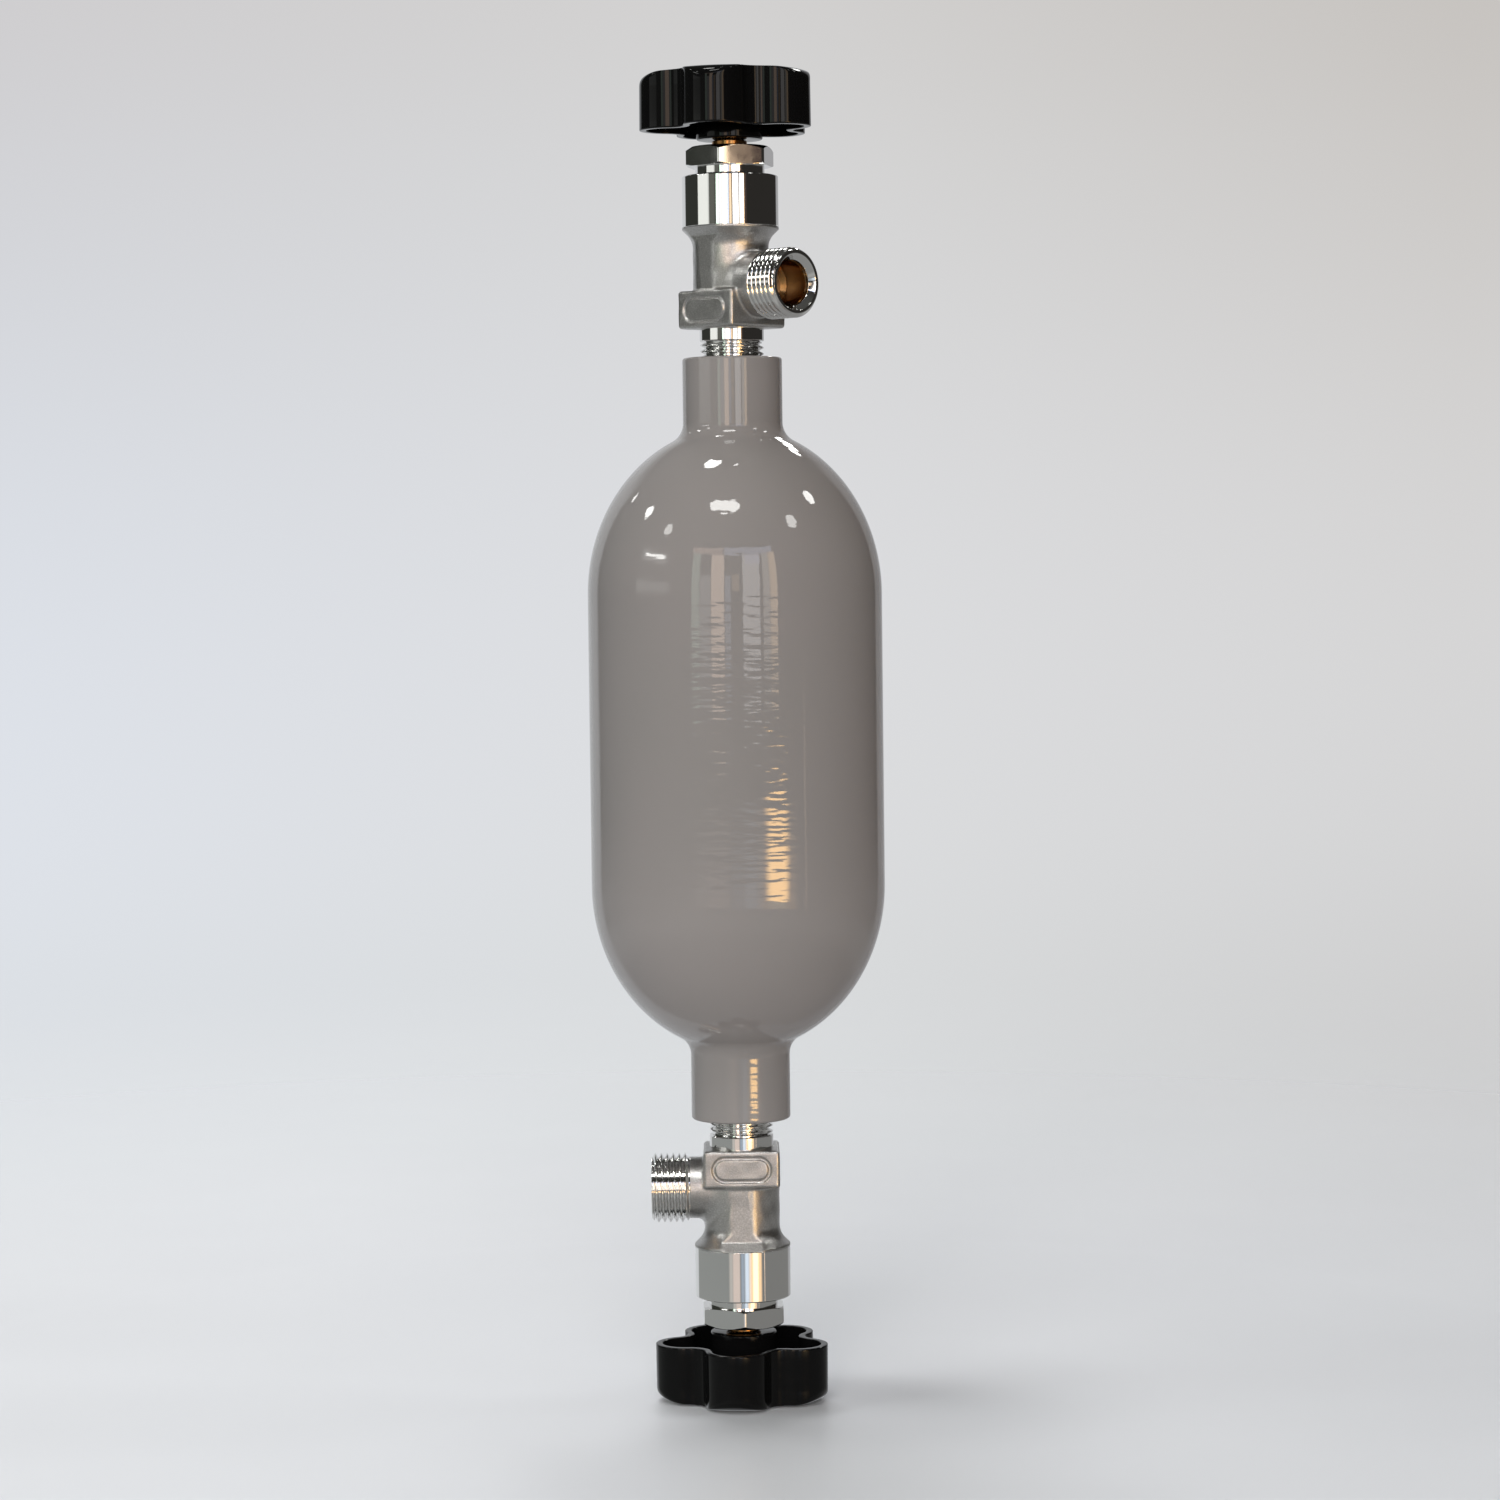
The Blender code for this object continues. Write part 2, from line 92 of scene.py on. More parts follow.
def rounded(points, seg=5):
    """A closed outline from corners (r, d, fillet): each corner with a fillet becomes an arc."""
    out = []
    n = len(points)
    for i in range(n):
        p = np.array(points[i][:2], float)
        f = points[i][2] if len(points[i]) > 2 else 0.0
        a = np.array(points[i - 1][:2], float) - p
        b = np.array(points[(i + 1) % n][:2], float) - p
        la, lb = np.linalg.norm(a), np.linalg.norm(b)
        if f <= 0 or la < 1e-9 or lb < 1e-9:
            out.append(tuple(p))
            continue
        a, b = a / la, b / lb
        half = math.acos(max(-1, min(1, float(a @ b)))) / 2
        t = min(f / math.tan(half), la * 0.49, lb * 0.49)
        r = t * math.tan(half)
        bis = (a + b) / np.linalg.norm(a + b)
        c = p + bis * (r / math.sin(half))
        s, e = p + a * t - c, p + b * t - c
        a0, a1 = math.atan2(s[1], s[0]), math.atan2(e[1], e[0])
        da = (a1 - a0 + math.pi) % (2 * math.pi) - math.pi
        for k in range(seg + 1):
            w = a0 + da * k / seg
            out.append((c[0] + r * math.cos(w), c[1] + r * math.sin(w)))
    return out


def polar(name, rows, mat, place, theta, sharp=38.0, closed=False):
    """A solid from rows of (radius over theta, station over theta). closed joins the last row to the first;
    otherwise a row of zero radius ends the solid on the axis."""
    n = len(theta)
    c, s = np.cos(theta), np.sin(theta)
    verts, faces = [], []
    for r, d in rows:
        r = np.broadcast_to(np.asarray(r, float), (n,))
        d = np.broadcast_to(np.asarray(d, float), (n,))
        verts.append(np.stack([r * c, r * s, MID - d], 1))
    m = len(rows)
    for i in range(m if closed else m - 1):
        j = (i + 1) % m
        a0 = i * n
        b0 = j * n
        for k in range(n):
            k2 = (k + 1) % n
            faces.append((a0 + k, a0 + k2, b0 + k2, b0 + k))
    v = place(np.concatenate(verts))
    return obj_from(name, v, faces, mat, sharp)


def lathe(name, profile, mat, place, steps=160, sharp=38.0):
    """A solid of revolution from a closed outline of (radius, station)."""
    theta = np.arange(steps) * 2 * math.pi / steps
    on_axis = [i for i, p in enumerate(profile) if p[0] < 1e-6]
    if on_axis:
        start = on_axis[0] if len(on_axis) == 1 or on_axis[1] != on_axis[0] + 1 else on_axis[1]
        profile = profile[start:] + profile[:start]
        return polar(name, [(r, d) for r, d in profile], mat, place, theta, sharp)
    return polar(name, [(r, d) for r, d in profile], mat, place, theta, sharp, closed=True)


def mover(side):
    """From a valve's own millimetres to the frame in metres: z runs outwards, +X along the outlet."""
    if side == "top":
        a = math.radians(-45.0)
        R = np.array([[math.cos(a), -math.sin(a), 0], [math.sin(a), math.cos(a), 0], [0, 0, 1]])
    else:
        R = np.array([[-1.0, 0, 0], [0, 1.0, 0], [0, 0, -1.0]])
    off = np.array([0, 0, MID])
    return lambda p: (p @ R.T + off) * MM


def turned_by(place, deg):
    a = math.radians(deg)
    R = np.array([[math.cos(a), -math.sin(a), 0], [math.sin(a), math.cos(a), 0], [0, 0, 1]])
    return lambda p: place(p @ R.T)


def sideways(place, station):
    """Pieces made along the axis are laid along the outlet: station -x becomes distance x from the valve's axis."""
    def f(p):
        x = p[:, 2] - MID
        return place(np.stack([x, p[:, 1], -p[:, 0] + (MID - station)], 1))
    return f


# ================================================================ materials
def nodes_of(name):
    m = bpy.data.materials.new(name)
    m.use_nodes = True
    nt = m.node_tree
    return m, nt, nt.nodes["Principled BSDF"]


def n_new(nt, kind, **kw):
    n = nt.nodes.new(kind)
    for k, v in kw.items():
        setattr(n, k, v)
    return n


def coords(nt, scale=(1, 1, 1), rot=(0, 0, 0)):
    tc = n_new(nt, "ShaderNodeTexCoord")
    mp = n_new(nt, "ShaderNodeMapping")
    mp.inputs["Scale"].default_value = scale
    mp.inputs["Rotation"].default_value = rot
    nt.links.new(tc.outputs["Object"], mp.inputs["Vector"])
    return mp.outputs["Vector"]


def noise(nt, vec, scale, detail=3.0, rough=0.5, dim="3D"):
    n = n_new(nt, "ShaderNodeTexNoise", noise_dimensions=dim)
    n.inputs["Scale"].default_value = scale
    n.inputs["Detail"].default_value = detail
    n.inputs["Roughness"].default_value = rough
    nt.links.new(vec, n.inputs["Vector"])
    return n.outputs["Fac"]


def ramp(nt, fac, stops):
    r = n_new(nt, "ShaderNodeValToRGB")
    el = r.color_ramp.elements
    el[0].position, el[0].color = stops[0][0], (*stops[0][1], 1)
    el[1].position, el[1].color = stops[-1][0], (*stops[-1][1], 1)
    for p, c in stops[1:-1]:
        e = el.new(p)
        e.color = (*c, 1)
    nt.links.new(fac, r.inputs["Fac"])
    return r.outputs["Color"]


def span(nt, fac, a, b, c, d):
    m = n_new(nt, "ShaderNodeMapRange")
    for k, v in zip(("From Min", "From Max", "To Min", "To Max"), (a, b, c, d)):
        m.inputs[k].default_value = v
    nt.links.new(fac, m.inputs["Value"])
    return m.outputs["Result"]


def bump(nt, height, strength, distance, normal=None):
    b = n_new(nt, "ShaderNodeBump")
    b.inputs["Strength"].default_value = strength
    b.inputs["Distance"].default_value = distance
    nt.links.new(height, b.inputs["Height"])
    if normal is not None:
        nt.links.new(normal, b.inputs["Normal"])
    return b.outputs["Normal"]


def math_node(nt, op, a, b=None, clamp=False):
    n = n_new(nt, "ShaderNodeMath", operation=op)
    n.use_clamp = clamp
    for i, v in enumerate((a, b)):
        if v is None:
            continue
        if isinstance(v, (int, float)):
            n.inputs[i].default_value = v
        else:
            nt.links.new(v, n.inputs[i])
    return n.outputs[0]


def paint():
    """Glossy warm-grey enamel: orange peel that runs round the vessel in fine ripples, slight colour drift."""
    m, nt, sh = nodes_of("grey_enamel")
    v = coords(nt)
    drift = noise(nt, v, 14.0, 2.0)
    col = ramp(nt, drift, [(0.3, (0.183, 0.174, 0.170)), (0.7, (0.194, 0.180, 0.177))])
    nt.links.new(col, sh.inputs["Base Color"])
    sh.inputs["Roughness"].default_value = 0.6
    sh.inputs["Specular IOR Level"].default_value = 0.0
    sh.inputs["Coat Weight"].default_value = 1.0
    sh.inputs["Coat IOR"].default_value = 1.5
    sh.inputs["Coat Roughness"].default_value = 0.012
    peel = noise(nt, coords(nt, (1.0, 1.0, 4.4)), 150.0, 1.0, 0.4)
    wave = noise(nt, coords(nt, (1.0, 1.0, 2.0)), 34.0, 1.0)
    grain = noise(nt, v, 900.0, 1.0)
    mix = math_node(nt, "ADD", math_node(nt, "MULTIPLY", peel, 1.0), math_node(nt, "MULTIPLY", wave, 1.1))
    mix = math_node(nt, "ADD", mix, math_node(nt, "MULTIPLY", grain, 0.05))
    normal = bump(nt, mix, 1.0, 0.000029)
    nt.links.new(normal, sh.inputs["Coat Normal"])
    return m


def polished(name="chrome_polished", colour=(0.80, 0.795, 0.785), rough=0.055, lines=0.35, axis="Z"):
    """Chrome over turned brass: mirror-like, with faint tool lines round the piece."""
    m, nt, sh = nodes_of(name)
    sh.inputs["Metallic"].default_value = 1.0
    v = coords(nt)
    tint = noise(nt, v, 60.0, 2.0)
    col = ramp(nt, tint, [(0.3, tuple(c * 0.96 for c in colour)), (0.7, colour)])
    nt.links.new(col, sh.inputs["Base Color"])
    smear = noise(nt, v, 130.0, 3.0, 0.6)
    nt.links.new(span(nt, smear, 0.35, 0.75, rough * 0.8, rough * 1.3), sh.inputs["Roughness"])
    scale = {"Z": (8, 8, 5200), "X": (5200, 8, 8)}[axis]
    tool = noise(nt, coords(nt, scale), 1.0, 2.0, 0.6)
    n1 = bump(nt, tool, lines, 0.000003)
    n2 = bump(nt, noise(nt, v, 200.0, 1.5), 0.3, 0.00001, n1)
    nt.links.new(n2, sh.inputs["Normal"])
    return m


def satin():
    """Chrome over a blasted forging: an even satin with a fine bright grain."""
    m, nt, sh = nodes_of("chrome_satin")
    sh.inputs["Metallic"].default_value = 1.0
    v = coords(nt)
    grain = noise(nt, v, 2600.0, 2.0, 0.6)
    coarse = noise(nt, v, 900.0, 2.0, 0.5)
    col = ramp(nt, grain, [(0.25, (0.40, 0.395, 0.385)), (0.55, (0.52, 0.513, 0.505)), (0.8, (0.72, 0.71, 0.70))])
    nt.links.new(col, sh.inputs["Base Color"])
    nt.links.new(span(nt, coarse, 0.3, 0.7, 0.31, 0.41), sh.inputs["Roughness"])
    n1 = bump(nt, grain, 0.6, 0.00005)
    n2 = bump(nt, coarse, 0.5, 0.00004, n1)
    nt.links.new(n2, sh.inputs["Normal"])
    return m


def brass():
    m, nt, sh = nodes_of("turned_brass")
    sh.inputs["Metallic"].default_value = 1.0
    v = coords(nt)
    t = noise(nt, v, 160.0, 3.0)
    # dark brown brass: the brass's own colour, darkened as painted shade for the dim inside of the outlet socket
    nt.links.new(ramp(nt, t, [(0.3, (0.26, 0.125, 0.045)), (0.7, (0.38, 0.20, 0.07))]), sh.inputs["Base Color"])
    nt.links.new(span(nt, t, 0.3, 0.7, 0.14, 0.24), sh.inputs["Roughness"])
    nt.links.new(bump(nt, noise(nt, coords(nt, (8, 8, 4200)), 1.0, 2.0), 0.4, 0.00001), sh.inputs["Normal"])
    return m


def black_plastic():
    """Glossy black moulding: soft sink waviness, fine scuffs and a little dust."""
    m, nt, sh = nodes_of("black_plastic")
    v = coords(nt)
    dust = noise(nt, v, 1900.0, 4.0, 0.75)
    nt.links.new(ramp(nt, dust, [(0.0, (0.0020, 0.0020, 0.0021)), (0.72, (0.0024, 0.0024, 0.0025)), (0.9, (0.014, 0.014, 0.0145))]), sh.inputs["Base Color"])
    scuff = noise(nt, coords(nt, (1, 1, 3.0)), 170.0, 4.0, 0.7)
    nt.links.new(span(nt, scuff, 0.5, 0.85, 0.05, 0.13), sh.inputs["Roughness"])
    sh.inputs["Specular IOR Level"].default_value = 0.16
    n1 = bump(nt, noise(nt, v, 90.0, 1.5), 0.4, 0.00005)
    n2 = bump(nt, noise(nt, v, 700.0, 2.0), 0.2, 0.000006, n1)
    nt.links.new(n2, sh.inputs["Normal"])
    return m


def plain(name, colour, rough, metallic=0.0, scale=400.0):
    m, nt, sh = nodes_of(name)
    v = coords(nt)
    t = noise(nt, v, scale, 3.0)
    nt.links.new(ramp(nt, t, [(0.3, tuple(c * 0.88 for c in colour)), (0.7, colour)]), sh.inputs["Base Color"])
    nt.links.new(span(nt, t, 0.3, 0.7, rough * 0.8, min(1.0, rough * 1.2)), sh.inputs["Roughness"])
    sh.inputs["Metallic"].default_value = metallic
    nt.links.new(bump(nt, noise(nt, v, scale * 3, 2.0), 0.3, 0.00002), sh.inputs["Normal"])
    return m


PAINT = paint()
CHROME = polished()
CHROME_X = polished("chrome_thread", rough=0.085, lines=0.2, axis="X")
CHROME_NUT = polished("chrome_nut", rough=0.075, lines=0.15)
SATIN = satin()
BRASS = brass()
PLASTIC = black_plastic()
STEEL = plain("zinc_steel", (0.62, 0.62, 0.61), 0.28, 1.0, 500.0)
RUBBER = plain("black_rubber", (0.022, 0.022, 0.022), 0.55)
NYLON = plain("natural_nylon", (0.80, 0.78, 0.71), 0.45)


# ================================================================ vessel
def vessel_profile():
    a, b, s0 = 44.5, 50.8, 44.0
    neck_r, fillet, end = 15.05, 6.2, 115.3
    cr = neck_r + fillet

    def at(t):
        n = np.array([b * math.cos(t), a * math.sin(t)])
        n /= np.linalg.norm(n)
        return a * math.cos(t) + fillet * n[0], s0 + b * math.sin(t) + fillet * n[1], n

    low, high = 0.5, 1.5
    for _ in range(60):
        t = (low + high) / 2
        if at(t)[0] > cr:
            low = t
        else:
            high = t
    _, cz, n = at(t)
    out = [(a, s0 * k / 6) for k in range(6)]
    out += [(a * math.cos(t * i / 48), s0 + b * math.sin(t * i / 48)) for i in range(49)]
    st = math.atan2(-n[1], -n[0])
    for i in range(1, 15):
        w = st + (-math.pi - st) * i / 14
        out.append((cr + fillet * math.cos(w), cz + fillet * math.sin(w)))
    e = 0.8
    out += [(neck_r, end - 8), (neck_r, end - e)]
    out += [(neck_r - e + e * math.cos(k * math.pi / 12), end - e + e * math.sin(k * math.pi / 12)) for k in range(1, 7)]
    ai, bi = a - 4.5, b - 4.5
    inner = [(ai * math.cos(math.acos(8.8 / ai) * i / 24), s0 + bi * math.sin(math.acos(8.8 / ai) * i / 24)) for i in range(25)]
    inner += [(8.8, MID - 103.7), (9.75, end - 0.6), (10.3, end)]
    half = out + list(reversed(inner))
    up = [(r, MID - z) for r, z in half]
    down = [(r, MID + z) for r, z in reversed(half[1:])]
    return up + down


place_mid = lambda p: (p + np.array([0, 0, MID])) * MM
vessel = lathe("vessel", vessel_profile(), PAINT, place_mid, steps=288, sharp=50)
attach(vessel, "cylinder")
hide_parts("cylinder_shell")


# ================================================================ threads
def thread_rows(x0, x1, pitch, root, crest, theta, limit, step=0.11, run_in=1.2, run_out=1.2, taper=0.0):
    """Rows of (radius, position) along a right-hand thread from x0 to x1, never above limit(x)."""
    rows = []
    n = int((x1 - x0) / step)
    for i in range(n + 1):
        x = x0 + (x1 - x0) * i / n
        u = (x / pitch - theta / (2 * math.pi)) % 1.0
        tri = 1 - np.abs(2 * u - 1)
        h = np.clip((tri - 0.15) / 0.70, 0, 1)
        h = h * h * (3 - 2 * h) * 0.35 + h * 0.65
        fade = np.clip(min((x - x0) / run_in, (x1 - x) / run_out), 0, 1)
        r = root + (crest - root) * h * fade + taper * (x - x0)
        rows.append((np.minimum(r, limit(x)), x))
    return rows


# ================================================================ forged body
def surface_nets(f, lo_c, hi_c, h):
    """The zero skin of a distance field as quads, with each vertex moved onto the skin."""
    ax = [np.arange(lo_c[k], hi_c[k] + h, h) for k in range(3)]
    X, Y, Z = np.meshgrid(*ax, indexing="ij")
    P = np.stack([X, Y, Z], -1)
    F = f(P.reshape(-1, 3)).reshape(X.shape)
    S = F < 0
    nx, ny, nz = (s - 1 for s in S.shape)
    corners = [(i, j, k) for i in (0, 1) for j in (0, 1) for k in (0, 1)]
    total = sum(S[i:i + nx, j:j + ny, k:k + nz].astype(np.int8) for i, j, k in corners)
    active = (total > 0) & (total < 8)
    idx = -np.ones(active.shape, np.int64)
    cells = np.argwhere(active)
    idx[active] = np.arange(len(cells))
    acc = np.zeros((len(cells), 3))
    cnt = np.zeros(len(cells))
    base = cells
    for a in corners:
        for axis in range(3):
            if a[axis] == 1:
                continue
            b = list(a)
            b[axis] = 1
            ia, ib = base + np.array(a), base + np.array(b)
            fa, fb = F[tuple(ia.T)], F[tuple(ib.T)]
            cross = (fa < 0) != (fb < 0)
            t = np.where(cross, fa / np.where(cross, fa - fb, 1), 0)
            pt = ia.astype(float)
            pt[:, axis] += t
            acc[cross] += pt[cross]
            cnt[cross] += 1
    v = acc / cnt[:, None] * h + np.array([x[0] for x in ax])
    quads = []
    for axis in range(3):
        u, w = (axis + 1) % 3, (axis + 2) % 3
        sl_a = [slice(None)] * 3
        sl_b = [slice(None)] * 3
        sl_a[axis], sl_b[axis] = slice(0, -1), slice(1, None)
        a, b = S[tuple(sl_a)], S[tuple(sl_b)]
        diff = a != b
        e = np.argwhere(diff)
        ok = (e[:, u] > 0) & (e[:, w] > 0) & (e[:, u] < S.shape[u] - 1) & (e[:, w] < S.shape[w] - 1)
        e = e[ok]
        flip = a[tuple(e.T)]
        c = []
        for du, dw in ((-1, -1), (0, -1), (0, 0), (-1, 0)):
            q = e.copy()
            q[:, u] += du
            q[:, w] += dw
            c.append(idx[tuple(q.T)])
        c = np.stack(c, 1)
        c[~flip] = c[~flip][:, ::-1]
        quads.append(c)
    quads = np.concatenate(quads)
    for _ in range(3):
        e = h * 0.25
        d0 = f(v)
        g = np.stack([f(v + np.eye(3)[k] * e) - f(v - np.eye(3)[k] * e) for k in range(3)], 1) / (2 * e)
        v = v - g * (d0 / np.maximum((g * g).sum(1), 1e-6))[:, None] * 0.8
    return v, quads


def smin(a, b, k):
    h = np.clip(0.5 + 0.5 * (b - a) / k, 0, 1)
    return b * (1 - h) + a * h - k * h * (1 - h)


def smax(a, b, k):
    return -smin(-a, -b, k)


def forging_field(p):
    """Distance field of the forged part of the valve body, in its own millimetres with +X along the outlet."""
    x, y, d = p[:, 0], p[:, 1], MID - p[:, 2]
    rad = np.hypot(x, y)
    wob = 0.035 * (np.sin(x * 0.9 + 1.3) * np.sin(y * 1.1 + d * 0.7) + np.sin(d * 0.83 + x * 0.5))
    # neck-down below the collar: a short lip, then a cone that runs out into the middle
    cone = np.maximum((rad + (d - 47.3) * 1.02 - 14.55) * 0.70, np.maximum(rad - 14.55, np.maximum(46.55 - d, d - 56)))
    mid = np.maximum(rad - 11.42 + wob, np.abs(d - 57.5) - 11.5)
    f = smin(cone, mid, 1.8)
    # flats left by the dies on both sides of the middle
    flat = np.abs(y) - 10.96
    f = np.where(d > 49.2, smax(f, flat, 0.28), smax(f, flat - (49.2 - d) * 1.0, 0.28))
    q = np.abs(np.stack([x, y, d - 71.3], 1)) - (np.array([11.55, 11.55, 5.7]) - 1.0)
    blk = np.linalg.norm(np.maximum(q, 0), axis=1) + np.minimum(q.max(1), 0) - 1.0 + wob * 0.9
    br = np.hypot(y, d - 64.5)
    boss = np.maximum(br - 9.3 + wob * 0.6, np.maximum(x - 15.75, -x))
    f = smin(f, boss, 2.8)
    f = smin(f, blk, 0.9)
    # stadium groove of the plaque on the -Y face
    dx = np.abs(x) - 5.0
    st = np.hypot(np.maximum(dx, 0), d - 71.3)
    tube = np.hypot(st - 3.5, y + 11.56) - 0.60
    return np.maximum(f, -np.where(y < -9, tube, 9))


FORGE_V, FORGE_F = surface_nets(forging_field, (-15.6, -15.6, MID - 78.0), (16.8, 15.6, MID - 45.6), 0.25)


# ================================================================ valve
def wheel_outline(inset, lobe_seg=24, notch_seg=10, Rc=17.6, rl=9.4, rn=5.0, lobes=5):
    half = math.pi / lobes
    reach = rl + rn
    nc = Rc * math.cos(half) + math.sqrt(reach ** 2 - (Rc * math.sin(half)) ** 2)
    to = (nc * math.cos(half) - Rc, nc * math.sin(half))
    sweep = math.atan2(to[1], to[0])
    open_half = sweep - half
    a, b = rl - inset, rn + inset
    pts = []
    for k in range(lobes):
        s = 2 * half * k
        for i in range(-lobe_seg, lobe_seg + 1):
            w = sweep * i / lobe_seg
            x, y = Rc + a * math.cos(w), a * math.sin(w)
            pts.append((x * math.cos(s) - y * math.sin(s), x * math.sin(s) + y * math.cos(s)))
        cx, cy = nc * math.cos(s + half), nc * math.sin(s + half)
        for i in range(-notch_seg + 1, notch_seg):
            w = s + half + math.pi - open_half * i / notch_seg
            pts.append((cx + b * math.cos(w), cy + b * math.sin(w)))
    return np.array(pts)


def build_wheel(name, place):
    base = wheel_outline(0)
    ang = np.arctan2(base[:, 1], base[:, 0])
    n = len(base)
    rows = []

    def ring(pts, d):
        rows.append(np.column_stack([pts, np.full(n, MID - d)]))

    def circ(r, d):
        ring(np.column_stack([r * np.cos(ang), r * np.sin(ang)]), d)

    def square(half, d, blend=1.0):
        c, s = np.abs(np.cos(ang)), np.abs(np.sin(ang))
        r = half / np.maximum(c, s)
        ring(np.column_stack([r * np.cos(ang), r * np.sin(ang)]), d)

    # inside of the square hole outwards to the recess, face, skirt, plate and hub
    square(3.8, 20.1)
    square(3.8, 8.3)
    square(4.05, 8.0)
    circ(7.2, 8.0)
    circ(7.45, 7.92)
    circ(7.5, 7.7)
    circ(7.5, 0.7)
    for k in range(1, 5):
        w = k * math.pi / 8
        circ(7.5 + 0.7 * (1 - math.cos(w)), 0.7 - 0.7 * math.sin(w))
    circ(8.6, 0.0)
    circ(12.0, 0.0)
    # a slightly domed face and a round edge, both cut by the lobed wall
    reach_o = np.hypot(base[:, 0], base[:, 1])
    unit = base / reach_o[:, None]
    K = 1.1

    def cutback(r, d):
        ring(unit * smin(np.full(n, r), reach_o, K)[:, None], d)

    for r in (13.5, 15.0, 16.2, 17.2, 18.0, 18.8, 19.6, 20.4, 21.2, 22.0):
        cutback(r, 0.5 * ((r - 12) / 10.5) ** 2)
    for k in range(17):
        w = math.radians(85) * (1 - k / 16)
        cutback(27.0 - 4.5 * (1 - math.cos(w)) + K * (1 - math.sin(w)), 0.5 + 4.5 * (1 - math.sin(w)))
    for d in (7.5, 11.0, 14.5, 17.0):
        ring(wheel_outline(-0.10 * (d - 5.0) / 12.0), d)
    top_d = 17.55
    for k in range(1, 5):
        w = k * math.pi / 8
        ring(wheel_outline(-0.1 + 0.25 * (1 - math.cos(w))), top_d - 0.25 + 0.25 * math.sin(w))
    ring(wheel_outline(1.0), top_d)
    for k in range(0, 5):
        w = k * math.pi / 8
        ring(wheel_outline(1.7 + 0.25 * math.sin(w)), top_d - 0.25 * (1 - math.cos(w)))
    for d in (14.0, 10.0, 7.0):
        ring(wheel_outline(1.98 + 0.4 * (16.6 - d) / 11), d)
    for k in range(1, 7):
        w = k * math.pi / 12
        ring(wheel_outline(2.4 + 2.4 * (1 - math.cos(w))), 6.4 - 2.4 * math.sin(w))
    circ(11.2, 3.9)
    for k in range(1, 4):
        w = k * math.pi / 6
        circ(10.15 + 0.75 * (1 - math.sin(w)), 3.9 + 0.75 * (1 - math.cos(w)))
    circ(10.05, 8.0)
    circ(10.0, 19.9)
    for k in range(1, 5):
        w = k * math.pi / 8
        circ(9.5 + 0.5 * math.cos(w), 19.9 + 0.5 * math.sin(w))
    circ(7.0, 20.4)
    square(4.1, 20.4)
    verts = place(np.concatenate(rows))
    faces = []
    m = len(rows)
    for i in range(m):
        j = (i + 1) % m
        for k in range(n):
            k2 = (k + 1) % n
            faces.append((i * n + k, i * n + k2, j * n + k2, j * n + k))
    return obj_from(name, verts, faces, PLASTIC, 42)


def hex_r(theta, af, corner=0.25):
    """Radius of a hexagon with corners at multiples of 60 degrees, with its corners just broken."""
    t = (theta + math.pi / 6) % (math.pi / 3) - math.pi / 6
    phi = math.pi / 6 - np.abs(t)
    along = af / 2 * np.tan(phi)
    # polishing has dubbed the flats off towards the corners
    drop = 0.03 * (np.maximum(along - (af / 2 * math.tan(math.pi / 6) - 3.6), 0) / 3.6) ** 2
    flat = (af / 2 - drop) / np.cos(phi)
    cap = af / math.sqrt(3) - corner
    return np.minimum(flat, cap)


def hex_theta(per=40):
    return np.concatenate([math.pi / 3 * (k + np.linspace(0, 1, per, endpoint=False)) for k in range(6)])


def build_gland_nut(name, place):
    th = hex_theta(44)
    hr = hex_r(th, 24.15, 0.16)
    rows = []
    # bore upwards to the outer face, crown, flats, underside, spigot and counterbore
    rows += [(5.6, 31.7), (5.6, 23.1), (5.75, 22.8), (6.1, 22.6), (9.2, 22.6)]
    k = 26
    for i in range(k + 1):
        d = 22.6 + 1.9 * i / k
        lim = 11.2 + (d - 22.6) / math.tan(math.radians(30)) if d < 24.4 else 99
        lim = 11.75 + (d - 22.6) * 1.6
        rows.append((np.minimum(hr, lim), d))
    rows += [(hr, 25.5), (hr, 27.6)]
    for i in range(13):
        d = 27.6 + 0.9 * i / 12
        lim = 12.7 + (28.5 - d) * 2.4
        rows.append((np.minimum(hr, lim), d))
    rows += [(10.75, 28.5), (10.45, 28.55), (10.45, 30.75), (10.2, 31.0), (10.2, 36.2), (9.9, 36.5), (8.7, 36.5), (8.4, 36.2), (8.4, 31.7)]
    return polar(name, rows, CHROME_NUT, place, th, sharp=28, closed=True)


def build_spindle(name, place):
    th = np.arange(192) * 2 * math.pi / 192
    sq = np.minimum(3.5 / np.maximum(np.abs(np.cos(th)), np.abs(np.sin(th))), 4.7)
    rows = [(0.0, 0.5), (2.6, 0.5), (3.0, 0.9)]
    rows += thread_rows(0.9, 7.6, 1.0, 2.5, 3.0, th, lambda x: 3.0 - max(0.0, 0.9 + 0.4 - x), step=0.1, run_in=0.3, run_out=0.6)
    rows += [(2.6, 7.9), (np.minimum(sq, 3.3), 8.2), (np.minimum(sq, 4.3), 8.5), (sq, 9.1), (sq, 20.45), (5.05, 20.7), (5.3, 20.95), (5.3, 33.4), (7.8, 33.4), (8.0, 33.6),
             (8.0, 35.6), (7.8, 35.8), (5.7, 35.8), (5.7, 39.9), (5.6, 40.0), (3.8, 40.0), (3.8, 42.2), (5.6, 42.2), (5.7, 42.3), (5.7, 43.5), (0.0, 43.5)]
    return polar(name, rows, BRASS, place, th, sharp=32)


